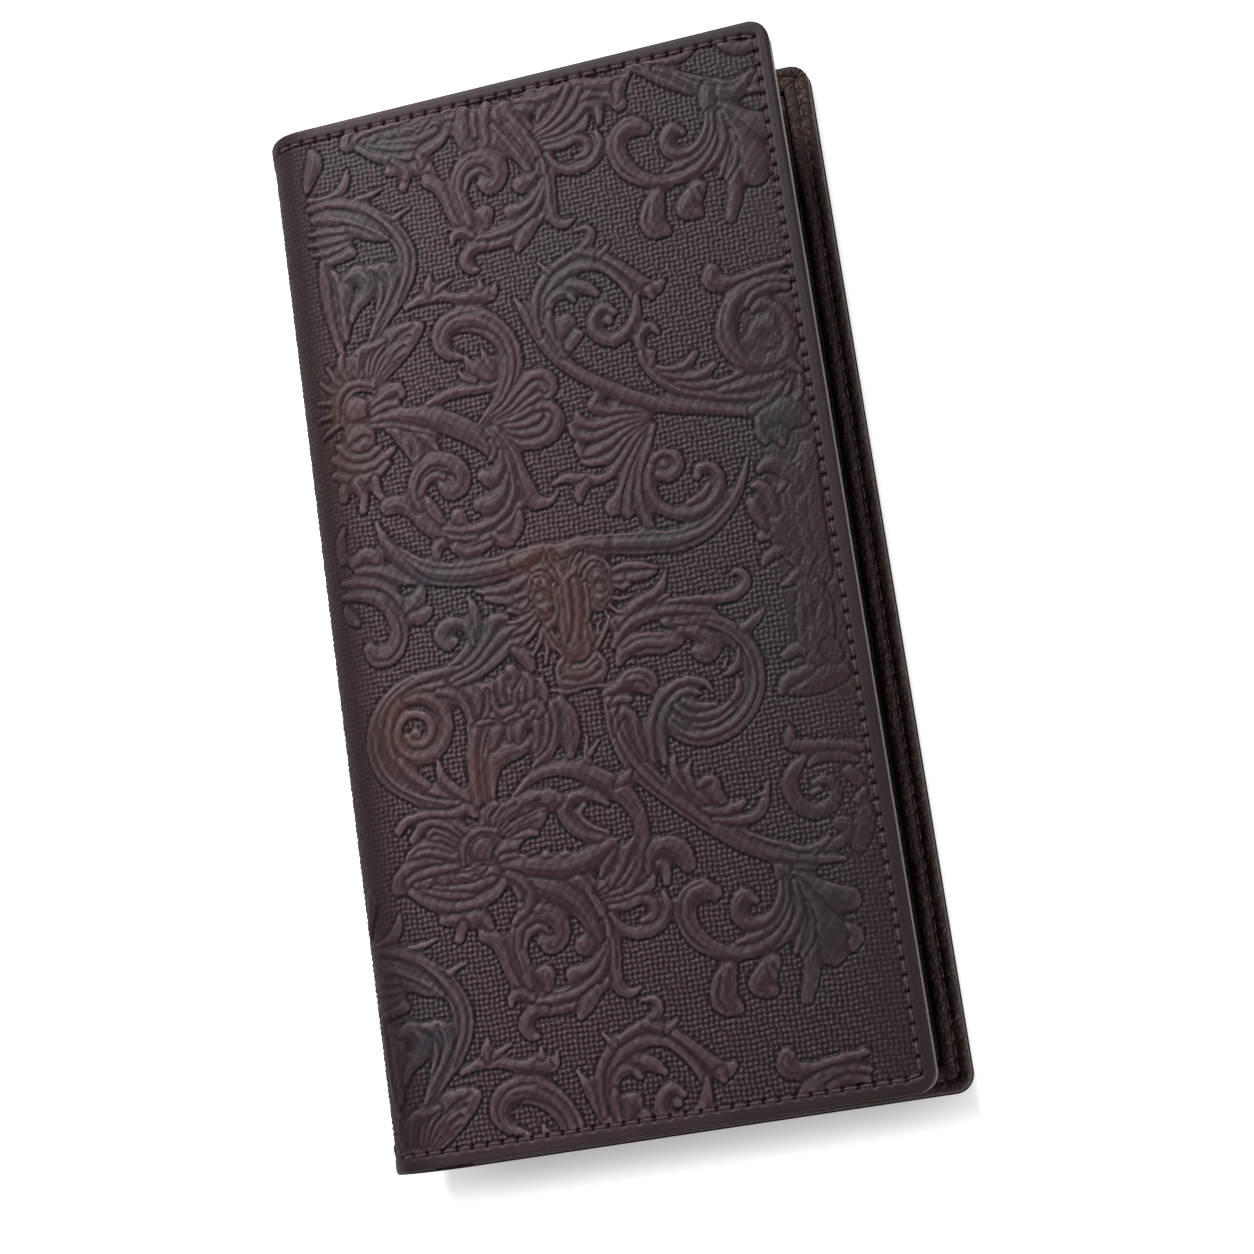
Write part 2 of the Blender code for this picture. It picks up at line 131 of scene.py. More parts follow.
# %% Selecting and naming


def deselect_all():
    if bpy.context.object and bpy.context.object.mode != "OBJECT":
        bpy.ops.object.mode_set(mode="OBJECT")
    bpy.ops.object.select_all(action="DESELECT")


def select_only(piece):
    deselect_all()
    bpy.context.view_layer.objects.active = piece
    piece.select_set(True)


def named(name):
    """Names the primitive that was just added."""
    made = bpy.context.object
    made.name = made.data.name = name
    return made


def new_object(name, data):
    made = bpy.data.objects.new(name, data)
    bpy.context.scene.collection.objects.link(made)
    return made


# %% Edit mode and modifiers
EDGE_MODE = (bpy.ops.mesh.select_mode, {"type": "EDGE"})
FACE_MODE = (bpy.ops.mesh.select_mode, {"type": "FACE"})
SELECT_NONE = (bpy.ops.mesh.select_all, {"action": "DESELECT"})
SELECT_ALL = (bpy.ops.mesh.select_all, {"action": "SELECT"})
SELECT_OPEN_EDGES = (bpy.ops.mesh.select_non_manifold, {})


def in_edit_mode(piece, *steps):
    """Runs edit mode operators on the whole piece, each as (operator, settings)."""
    select_only(piece)
    bpy.ops.object.mode_set(mode="EDIT")
    bpy.ops.mesh.select_all(action="SELECT")
    for operator, settings in steps:
        operator(**settings)
    bpy.ops.object.mode_set(mode="OBJECT")


def on_faces(piece, chosen, *steps):
    """Runs edit mode operators on chosen faces, given as one true or false for each face."""
    in_edit_mode(piece, FACE_MODE, SELECT_NONE)
    piece.data.polygons.foreach_set("select", chosen)
    bpy.ops.object.mode_set(mode="EDIT")
    for operator, settings in steps:
        operator(**settings)
    bpy.ops.object.mode_set(mode="OBJECT")


def close_tube(piece, threshold):
    """Merges the seam of a grid bent round into a tube, fills its ends and turns its faces outwards."""
    in_edit_mode(piece, (bpy.ops.mesh.remove_doubles, {"threshold": threshold}), EDGE_MODE, SELECT_NONE,
                 SELECT_OPEN_EDGES, (bpy.ops.mesh.fill_holes, {"sides": 0}), SELECT_ALL,
                 (bpy.ops.mesh.normals_make_consistent, {"inside": False}))


def apply_modifier(piece, kind, **settings):
    added = piece.modifiers.new(kind.lower(), kind)
    for key, value in settings.items():
        setattr(added, key, value)
    select_only(piece)
    bpy.ops.object.modifier_apply(modifier=added.name)


def bevel_edges(piece, width, segments, angle):
    """Bevels the edges that turn by more than an angle in degrees; the width is in mm."""
    apply_modifier(piece, "BEVEL", width=width * MM, segments=segments, limit_method="ANGLE",
                   angle_limit=math.radians(angle))


def smooth(piece, angle=None):
    select_only(piece)
    if angle is None:
        bpy.ops.object.shade_smooth()
    else:
        bpy.ops.object.shade_smooth_by_angle(angle=math.radians(angle))
    return piece


print("edit mode helpers ready")

# %% Grids and finished pieces


def fit_grid(name, points):
    """A primitive grid whose vertices are set to rows of points (rows, columns, 3), in metres."""
    rows, columns = points.shape[:2]
    deselect_all()
    bpy.ops.mesh.primitive_grid_add(x_subdivisions=columns - 1, y_subdivisions=rows - 1, size=1)
    made = named(name)
    made.data.vertices.foreach_set("co", points.astype(np.float32).ravel())
    made.data.update()
    return made


def vertices_of(mesh, kind=float):
    points = np.empty(len(mesh.vertices) * 3, kind)
    mesh.vertices.foreach_get("co", points)
    return points.reshape(-1, 3)


def write_attribute(piece, name, kind, key, values):
    layer = piece.data.attributes.new(name, kind, "POINT")
    layer.data.foreach_set(key, np.ascontiguousarray(values, np.float32).ravel())


def finish_piece(piece, surface, body=None, replaced=()):
    piece.data.materials.clear()
    piece.data.materials.append(surface)
    if replaced:
        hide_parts(*replaced)
    if body:
        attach(piece, body)
    print(f"{piece.name}: {len(piece.data.polygons)} faces")
    return piece


def bend_with_spine(piece, start, end):
    """Bakes a piece's transform into its mesh. Where a start and an end place lie on the sheet is worked
    out, but not used.
    """
    ends = place_on_sheet(np.array([start, end]), 0.0, 0.0)
    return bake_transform(piece)


def ramp(values, low, high):
    """0 below low and 1 above high, with a soft step between them."""
    t = np.clip((values - low) / (high - low), 0, 1)
    return t * t * (3 - 2 * t)


def round_off(across, along):
    """Moves a place in a square corner, each way given from 0 to 1, into a round one."""
    return across * np.sqrt(1 - along * along / 2), along * np.sqrt(1 - across * across / 2)


print("grid helpers ready")

# %% [markdown]
# ## Nodes for materials
# Every material here is a few noises, cells or waves that mix colours and lift a bump. These small
# functions add one node each, and most return its output, so that a material reads like a recipe.

# %% Nodes
NOISE_ROUGHNESS = 0.55


def srgb(red, green, blue):
    """A colour as read on a screen, 0 to 255, as linear light."""
    return tuple(((c / 255 + 0.055) / 1.055) ** 2.4 if c > 10 else c / 3294.6
                 for c in (red, green, blue)) + (1.0,)


def scaled(colour, share):
    return tuple(min(1.0, c * share) for c in colour[:3]) + (1.0,)


def add(tree, kind, inputs=None, **settings):
    made = tree.nodes.new("ShaderNode" + kind)
    for key, value in settings.items():
        setattr(made, key, value)
    for key, value in (inputs or {}).items():
        if isinstance(value, bpy.types.NodeSocket):
            tree.links.new(value, made.inputs[key])
        else:
            made.inputs[key].default_value = value
    return made


def mix(tree, factor, first, second):
    return add(tree, "Mix", {0: factor, 6: first, 7: second}, data_type="RGBA").outputs[2]


def remap(tree, value, low, high, to_low, to_high, **settings):
    return add(tree, "MapRange", {0: value, 1: low, 2: high, 3: to_low, 4: to_high}, **settings).outputs[0]


def soft_step(tree, *values):
    return remap(tree, *values, interpolation_type="SMOOTHSTEP")


def math_node(tree, operation, first, second=0.0):
    return add(tree, "Math", {0: first, 1: second}, operation=operation).outputs[0]


def noise(tree, vector, scale, detail=3.0):
    return add(tree, "TexNoise", {"Vector": vector, "Scale": scale, "Detail": detail,
                                  "Roughness": NOISE_ROUGHNESS}).outputs[0]


def cell_edges(tree, vector, scale):
    """Distance to the nearest edge of an uneven cell pattern."""
    return add(tree, "TexVoronoi", {"Vector": vector, "Scale": scale},
               feature="DISTANCE_TO_EDGE").outputs[0]


def bump(tree, height, strength, distance, normal=None):
    inputs = {"Strength": strength, "Distance": distance, "Height": height}
    if normal:
        inputs["Normal"] = normal
    return add(tree, "Bump", inputs).outputs[0]


def place_in_object(tree):
    return add(tree, "TexCoord").outputs["Object"]


def attribute(tree, name, output):
    return add(tree, "Attribute", attribute_name=name).outputs[output]


def new_material(name, roughness, metallic=0.0, specular=0.5):
    made = bpy.data.materials.new(name)
    made.use_nodes = True
    tree = made.node_tree
    shader = tree.nodes["Principled BSDF"]
    shader.inputs["Roughness"].default_value = roughness
    shader.inputs["Metallic"].default_value = metallic
    shader.inputs["Specular IOR Level"].default_value = specular
    return made, tree, shader


def feed(tree, shader, colour, normal, roughness=None):
    """Links a colour, a normal and a roughness to the shader."""
    tree.links.new(colour, shader.inputs["Base Color"])
    tree.links.new(normal, shader.inputs["Normal"])
    if roughness:
        tree.links.new(roughness, shader.inputs["Roughness"])


print("node helpers ready")

# %% [markdown]
# ## The tooled leather
# Tooled leather is dyed dark and then wiped, so dye stays in the recesses and the raised parts are worn
# lighter; on top of that a painted shade darkens the cuts and a painted highlight lightens the crests. Its
# colour wanders between red-brown and blue-grey. Painted shade darkens it where it bends over the spine and
# towards the fore edge, and the ground between the motifs is a little darker. The material reads the height
# of the tooling and the drift of colour from attributes that the relief writes on the mesh, so that both
# follow the sheet round the spine. Grain is too fine to model and is a bump.

# %% Tooled leather
PLAIN_DYE = srgb(48, 31, 36), srgb(52, 33, 36)
RED_DYE, BLUE_DYE = srgb(66, 41, 38), srgb(41, 40, 48)
# The first colour is worn leather with a painted highlight on the crests; the second is dye left in the cuts
# with a painted shade there.
WORN_AND_PAINTED_HIGHLIGHT, DYE_AND_PAINTED_SHADE, PRESSED_RIM = srgb(94, 78, 84), srgb(10, 6, 7), srgb(44, 33, 36)
# The next two colours are painted shade: towards the fore edge and over the spine.
IN_SHADE, SPINE_SHADE_COLOUR, SPECKLED = srgb(8, 5, 6), srgb(22, 11, 10), srgb(20, 13, 15)
LEATHER_GLOSS = 0.12
SPINE_MIDDLE = -10.9


def leather_colour_with_painted_light(tree, sheet, fine):
    """The colour of the leather by its height, its drift and its wear, with a painted highlight on the
    crests and painted shade in the cuts, towards the fore edge and over the spine.
    """
    tooling = add(tree, "SeparateColor", {0: attribute(tree, "tooling", "Color")})
    wear_and_painted_light, raised, tone = tooling.outputs
    margin = attribute(tree, "margin", "Fac")
    drift = noise(tree, sheet, 0.09)
    colour = mix(tree, remap(tree, drift, 0.35, 0.65, 0, 1), *PLAIN_DYE)
    colour = mix(tree, remap(tree, tone, 0.0, 0.5, 1, 0), colour, RED_DYE)
    colour = mix(tree, remap(tree, tone, 0.5, 1.0, 0, 1), colour, BLUE_DYE)
    # Crests lighter: worn leather and a painted highlight.
    colour = mix(tree, remap(tree, wear_and_painted_light, 0.52, 0.68, 0.0, 0.8), colour, WORN_AND_PAINTED_HIGHLIGHT)
    # Cuts darker: dye left in them and a painted shade.
    colour = mix(tree, remap(tree, wear_and_painted_light, 0.32, 0.52, 1.0, 0.0), colour, DYE_AND_PAINTED_SHADE)
    colour = mix(tree, math_node(tree, "MULTIPLY", margin, 0.75), colour, PRESSED_RIM)
    # Painted shade falling off towards the fore edge; the ground between the motifs is also a little darker.
    across = add(tree, "SeparateXYZ", {0: sheet}).outputs["X"]
    painted_falloff_and_ground = math_node(tree, "MULTIPLY", remap(tree, across, 18.0, 88.0, 1.0, 0.52),
                        remap(tree, raised, 0.1, 0.9, 0.86, 1.0))
    colour = mix(tree, painted_falloff_and_ground, IN_SHADE, colour)
    # Painted shade over the spine, darkest near its outer folds and broken up by fine noise; the same mask
    # makes the leather duller there.
    away = math_node(tree, "ABSOLUTE", math_node(tree, "ADD", across, -SPINE_MIDDLE))
    spine_shade_band = math_node(tree, "MINIMUM", remap(tree, away, 17.9, 11.4, 0.0, 0.96),
                     remap(tree, away, 3.0, 9.5, 0.5, 0.96))
    painted_spine_shade = math_node(tree, "MULTIPLY", spine_shade_band, remap(tree, fine, 0.3, 0.7, 0.75, 1.0))
    return mix(tree, painted_spine_shade, colour, SPINE_SHADE_COLOUR), painted_spine_shade


def tooled_leather():
    made, tree, shader = new_material("tooled_leather", 0.5, specular=LEATHER_GLOSS)
    sheet = attribute(tree, "sheet", "Vector")
    fine = noise(tree, sheet, 1.4, 4.0)
    speckle = noise(tree, sheet, 5.5)
    colour, painted_spine_shade = leather_colour_with_painted_light(tree, sheet, fine)
    colour = mix(tree, remap(tree, speckle, 0.5, 0.72, 0.0, 0.35), colour, SPECKLED)
    dull = math_node(tree, "ADD", remap(tree, fine, 0.3, 0.7, 0.38, 0.52),
                     math_node(tree, "MULTIPLY", painted_spine_shade, 0.3))
    grain = bump(tree, cell_edges(tree, sheet, 2.6), 0.45, 0.00007)
    grain = bump(tree, fine, 0.3, 0.00012, grain)
    grain = bump(tree, noise(tree, sheet, 9.0, 2.0), 0.22, 0.00005, grain)
    feed(tree, shader, colour, grain, dull)
    return made


LEATHER_SURFACE = tooled_leather()
print("tooled leather:", len(LEATHER_SURFACE.node_tree.nodes), "nodes")

# %% [markdown]
# ## The other materials
# The inner leather has a pebble grain, which is a cell pattern with soft edges whose lines wander. The cloth
# is two sets of fine waves that cross, the thread is one set at a slant, and the brass is stained where it
# isn't rubbed. All of this is finer than a mesh could carry, so nodes make it. They read Object coordinates,
# which travel with a piece when its body moves.

# %% Pebbled leather, cloth, thread and brass


def pebbled_leather(name, colour, scale):
    made, tree, shader = new_material(name, 0.5, specular=LEATHER_GLOSS)
    where = place_in_object(tree)
    push = add(tree, "TexNoise", {"Vector": where, "Scale": 260.0}).outputs["Color"]
    push = add(tree, "VectorMath", {0: push, "Scale": 0.0016}, operation="SCALE").outputs[0]
    wander = add(tree, "VectorMath", {0: where, 1: push}, operation="ADD").outputs[0]
    pebble = remap(tree, cell_edges(tree, wander, scale), 0.0, 0.36, 0.0, 1.0)
    large = noise(tree, where, 60.0)
    uneven = mix(tree, remap(tree, large, 0.35, 0.65, 0, 1), colour, scaled(colour, 1.25))
    rough = bump(tree, noise(tree, where, 2600.0, 2.0), 0.2, 0.00004)
    feed(tree, shader, mix(tree, pebble, scaled(colour, 0.42), uneven),
         bump(tree, pebble, 0.7, 0.00022, rough), remap(tree, large, 0.3, 0.7, 0.44, 0.56))
    return made


def woven_cloth(name, colour, threads):
    """Plain weave: two sets of fine waves, one for each way of the cloth."""
    made, tree, shader = new_material(name, 0.85, specular=0.25)
    where = place_in_object(tree)
    weave = math_node(tree, "MULTIPLY", *(
        add(tree, "TexWave", {"Vector": where, "Scale": threads}, bands_direction=way).outputs[1]
        for way in ("X", "Y")))
    feed(tree, shader, mix(tree, weave, scaled(colour, 0.45), colour), bump(tree, weave, 0.4, 0.00008))
    return made


def waxed_thread():
    made, tree, shader = new_material("waxed_thread", 0.45, specular=0.2)
    turned = add(tree, "Mapping", {"Vector": place_in_object(tree),
                                   "Rotation": (0.0, 0.0, math.radians(35))}).outputs[0]
    twist = add(tree, "TexWave", {"Vector": turned, "Scale": 700.0}).outputs[1]
    feed(tree, shader, mix(tree, twist, srgb(36, 24, 25), srgb(76, 55, 55)),
         bump(tree, twist, 0.5, 0.00008))
    return made


def aged_brass():
    made, tree, shader = new_material("aged_brass", 0.5, metallic=1.0)
    where = place_in_object(tree)
    stain = noise(tree, where, 420.0, 5.0)
    colour = mix(tree, remap(tree, stain, 0.4, 0.7, 0.0, 0.75), srgb(150, 124, 80), srgb(80, 62, 40))
    feed(tree, shader, colour, bump(tree, noise(tree, where, 3000.0, 2.0), 0.15, 0.00003),
         remap(tree, stain, 0.35, 0.7, 0.42, 0.6))
    return made


PEBBLED_SURFACE = pebbled_leather("pebbled_leather", srgb(50, 36, 33), 760.0)
LINING_SURFACE = woven_cloth("lining_cloth", srgb(45, 37, 36), 450.0)
TAPE_SURFACE = woven_cloth("zip_tape", srgb(38, 35, 35), 380.0)
THREAD_SURFACE = waxed_thread()
BRASS_SURFACE = aged_brass()
SURFACES = {"embossed_leather": LEATHER_SURFACE, "pebbled_leather": PEBBLED_SURFACE,
            "lining_cloth": LINING_SURFACE, "thread": THREAD_SURFACE, "zip_tape": TAPE_SURFACE,
            "zip_metal": BRASS_SURFACE}
for subpart in frame["record"]["subparts"]:
    part = frame["nodes"][subpart["node"]]
    part.data.materials.clear()
    part.data.materials.append(SURFACES[subpart["material_slot"]])
print("materials:", len(SURFACES), "surfaces on", len(frame["nodes"]), "CAD nodes")

# %% [markdown]
# ## The ornament
# The front is covered with traditional western scrollwork on a basket weave, and a longhorn's head across
# the middle. It is drawn here the way a tooler draws on the leather: each leaf rib, petal and scroll is one
# stroke, a few points with a half width at each. Strokes are laid in order, later over earlier.

# %% Strokes at the upper left
# Each stroke is a list of points, three numbers each: mm from the last fold line, mm from the middle of the
# length, half width in mm.


def count_strokes(where, *motifs):
    print(where, sum(len(motif) for motif in motifs), "strokes")


CRESCENT = [
    [3.8,83,.6, 4.6,85.4,1.3, 5.8,88,1.7, 5.6,90.2,.9],
    [11.9,85.2,.35, 11.3,83.2,.9, 9.8,81.4,1, 7,80.6,.8, 4,81.2,.6],
    [18,80.2,.3, 15.8,79.6,.6, 13,79.2,.7],
    [3.6,79.4,.6, 8.4,79.4,1.1, 12.6,77.8,1.4, 16.6,74.8,1.6, 19.8,70.8,1.7, 21.1,66.6,1.8, 20.2,62.4,1.8,
     17.6,58.6,1.6, 15,55.6,1.2, 12.6,52.4,.6],
    [19.6,74,.7, 21.2,74.8,.5, 22.8,75.3,.25],
    [4.4,77.2,.8, 8.4,76.4,1.8, 12,74.8,2.3, 15.6,72.4,1.8, 18,70.8,.6],
    [3,74.6,.4, 6.2,74.4,.8, 9.8,73.8,1.1],
    [2.8,72.6,.4, 6.2,72.4,.8, 9.8,72.2,1.1],
    [3.2,70.6,.4, 6.6,70.4,.8, 10,70.7,1.2],
    [4.6,68.4,.4, 7.6,68.8,.9, 10.6,69.6,1.2],
    [5,68.6,.6, 5.3,64.6,1.4, 5.5,59.6,1.3, 6,54.6,1, 6.6,50.8,.7],
    [7,66.4,.6, 8.2,62.4,1.9, 7.8,58,1.5, 7.8,53.6,.6],
    [9,64.8,.7, 11.6,65.3,1.7, 13.3,63.3,1.7, 12.4,60.8,1.3, 10.4,59,.9, 9.2,56.8,.6],
    [14,65.6,.9, 16.8,64.6,1.7, 17.6,61.8,1.5, 16.4,58.8,1.3, 14.2,55.4,1, 12.4,52.6,.5],
    [15.6,62.4,.4, 15.4,60,.6, 14.2,57.8,.4],
]
TWIG = [
    [19.6,56.8,.5, 22.8,57.8,1, 26.4,57.6,1, 30.2,56.4,1.1, 33,56.2,1.5, 35.6,55.9,1.4],
    [24.9,61.9,.3, 24.5,60,1.1, 24.6,58.6,1],
    [28.9,60.3,.3, 27,59.5,.6, 25.6,58.6,.6],
    [34.1,58.9,.3, 34,57.4,.8],
    [36.8,57.6,.3, 36.4,56.2,.8],
    [20.9,84.8,.6, 23.2,82.4,1.2, 22.6,80.8,.5],
    [25.6,84.8,.6, 26.3,83.3,1, 26.2,82.3,.5],
]
HORN_OF_PLENTY = [
    [21.4,38,.8, 23.4,38.7,1, 26.4,39.4,1.1, 30.4,39.2,1.1, 34.2,38.9,.9],
    [34.4,41.4,.5, 34.7,44.2,.4],
    [34,40.6,.9, 33.5,43.2,1.2, 32.7,45.9,.35],
    [33.4,40.4,1, 31.4,42.2,1.5, 30.1,44,.9, 29.4,45.7,.3],
    [30.6,40.6,.8, 28.8,41.6,.7, 27.9,43,.3],
    [28.8,45.5,.6, 26.5,46.7,1.3, 25.3,49,1.7, 26.4,51.6,2, 29.6,52.4,2.3, 33.4,51.2,2.4, 36.5,48,2.2,
     38,44.2,2, 37.4,40.2,2, 35.6,37,1.5, 33,34.7,.9, 30.6,33,.3],
]
UPPER_FLOWER = [
    [6.8,44,.4, 5,46,.6, 3.6,48.8,.5],
    [6,43.2,.4, 3.6,44.6,.6, 1.8,46.4,.5],
    [5.2,41.8,.4, 3,42.4,.6, .6,42.8,.5],
    [5,40,.4, 2.6,39.8,.6, .2,39.6,.5],
    [5,38.2,.4, 3,37.2,.6, .8,36,.5],
    [7.4,45.4,.5, 6.2,48.2,.9, 6.4,50.4,.6],
    [12.2,44.6,1, 14.6,47,1.9, 17.2,49.8,2.6, 19.8,52,2.2, 21.4,52.8,1.3],
    [15.2,51,1.2, 17.2,52.8,1.3, 19.8,53.4,1],
    [9,45.6,1.3, 9.2,48.2,1.9, 10.8,50.3,1.6, 13,51,1.1, 15,51.4,.6],
    [12.8,44.6,.3, 15.4,46.6,.35, 18.4,47.8,.3],
    [12.6,45.2,.3, 15,47.8,.4, 18.4,49.6,.35],
    [12.2,45.6,.3, 14,48.6,.4, 17,50.6,.4, 19.6,51.4,.3],
    [11.6,45.8,.3, 12.8,48.8,.4, 14.8,50.8,.35],
    [10.8,45.8,.3, 11.4,48.6,.35, 12.6,50.2,.3],
    [9.8,45.8,.3, 10,48,.35, 10.6,49.8,.3],
    [8.6,45.8,.3, 8.5,48,.35, 9,49.6,.3],
    [4.4,39,.6, 4.8,42.4,.7, 6.4,44.4,.7, 9,44.9,.7, 11.8,43.8,.6],
    [11.4,40.4,.9, 13.4,41.6,1.3, 15.8,42.4,1.4, 16.8,41,.8],
    [12,41.8,.3, 14,43,.3, 15.6,43.2,.3],
    [11,38.6,.8, 13.4,39.5,.9, 15.6,39.6,.7],
    [8.2,39.9,2.5],
    [5.5,35.6,.24, 5.2,38.8,.24, 6,41.8,.24, 8,43.4,.24, 10,43.3,.24, 12,42.4,.24],
    [8.1,34.5,2.8],
    [5.2,35.8,.24, 6.6,37.2,.26, 9,37.8,.26, 11.2,37.6,.24],
    [6.2,33.6,.3, 8.6,34.6,.35, 10.4,34.2,.3],
    [4,33.8,.8, 5.8,31.6,.8, 8.8,30.9,.8, 11.4,32.2,.6],
    [2.6,31.8,.8, 6,29.4,.9, 10,29.2,.9, 13.8,31.4,.7],
    [2.4,28.8,.8, 6.2,27.2,.9, 10,27.4,.8, 12.6,29,.6],
    [6.2,26.6,1.1, 7.2,23.8,.9, 6.8,21.4,.8],
    [9.8,26.6,.8, 10,24.2,.9, 10.9,22.8,.6],
    [3.8,25.8,1.1, 3.6,24.2,.9],
]
FLOWER_LEAF = [
    [13,35.8,.6, 15.6,33.8,1.4, 17.4,31.2,1.8, 18.2,28.6,1.3, 17.7,26.4,.4],
    [16,33.8,.3, 17.4,32,.35, 17.6,29.4,.3],
    [18.4,34,.8, 20.6,32,1.2, 22,29.6,.5],
    [11,36.4,.5, 15,35.7,.6, 19,34,.6, 22,32.6,.4],
    [11,37.5,.6, 14.4,37.5,1.2, 18.8,36.6,1.8, 23,35,2.1, 27,32.6,2.2, 30.4,29.6,1.8, 32.6,26.2,1],
]
SHELL_BY_WREATH = [
    [32,33,.4, 35.6,34.8,.7, 38.4,37.2,1, 41,39.1,1.3, 43.6,38.7,1.4, 44.6,36.6,1.1, 43.6,34.8,.7],
    [32.4,32.5,.4, 36.6,34,.6, 39.4,36,.8, 42,37.4,1, 43.3,36.2,.8],
    [33,32.2,.4, 37.4,33.1,.6, 40.4,34.7,.7, 42.2,35.4,.5],
    [33.4,31.8,.4, 37.2,32.2,.6, 40.6,33.3,.6],
    [34.4,30.2,.5, 36.6,27.9,.9, 40,26.9,1.1, 43.4,27.9,1.3, 44.7,30.4,1.4, 43.8,32.8,1.2, 41.6,33.2,.7],
    [34.6,30.8,.4, 38,29.1,.8, 41.4,29.1,.9, 43.2,30.6,.8, 42.9,31.8,.4],
    [34.8,31.2,.4, 38.2,30.7,.7, 41,31.2,.7, 42,32,.4],
]
WREATH = [
    [22.6,11.5,.8, 26.4,11.1,1.2, 30,12.1,1.2, 33.4,13.9,1.1, 35.6,16.4,.8],
    [33.2,30.8,.8, 35.6,26.6,1.1, 36.8,22.4,1.1, 37.8,18.8,1.4, 38.6,16.6,1.5, 41,16,.8, 42.8,17.2,.3],
    [19,20.6,1, 19.4,18.4,1.8, 20.6,16.4,1.3],
    [11.6,21.1,1.6, 13.6,21.2,1.7, 16.2,19.4,1.5, 18.1,16.6,1.5, 20.6,14.3,1.3, 23.6,12.9,1, 27,12.4,.7],
    [17.4,19.6,1.1, 16.9,22.6,1.4, 17.9,25.4,1.6, 20.2,27.1,1.8, 23.2,27,2, 25.4,24.9,2, 25.3,22.3,1.9,
     23.4,21.4,1.5, 22.2,22.8,1.1],
    [17.8,21.6,.4, 19,23.9,.7, 21,25,.7, 22.6,24.3,.6],
    [24.8,14.6,1.1, 24.3,16.8,1.5],
    [21.4,14.9,.5, 25,14,.9, 29,14,1.1, 32.6,15.6,1.1, 34.6,18.2,1, 35,21.6,1, 34.5,25.2,1.1, 33,28.6,1,
     31.6,31,.5],
    [28.6,18,1.4, 30.8,17.6,1.9, 33,19.4,1.2, 34.2,22,.5],
    [29.9,23.1,1.3, 31.6,22.1,1.5, 33.3,24,.9, 33.6,26.8,.5],
    [31.4,25.6,.4, 32.4,26.8,.7, 32.2,29,.5],
    [21,12.8,.8, 19.6,12,1.1, 19.4,10.3,.8],
    [23.2,11.2,1.1, 25.2,10,1.2, 28,10.3,.8, 30.2,11,.4],
    [30.4,12.2,.6, 31.6,10.9,1.2, 33.2,10.3,.9],
    [35.6,15.2,.5, 35,12.8,1, 34,10.9,.6],
]
count_strokes("upper left:", CRESCENT, TWIG, HORN_OF_PLENTY, UPPER_FLOWER, FLOWER_LEAF,
              SHELL_BY_WREATH, WREATH)

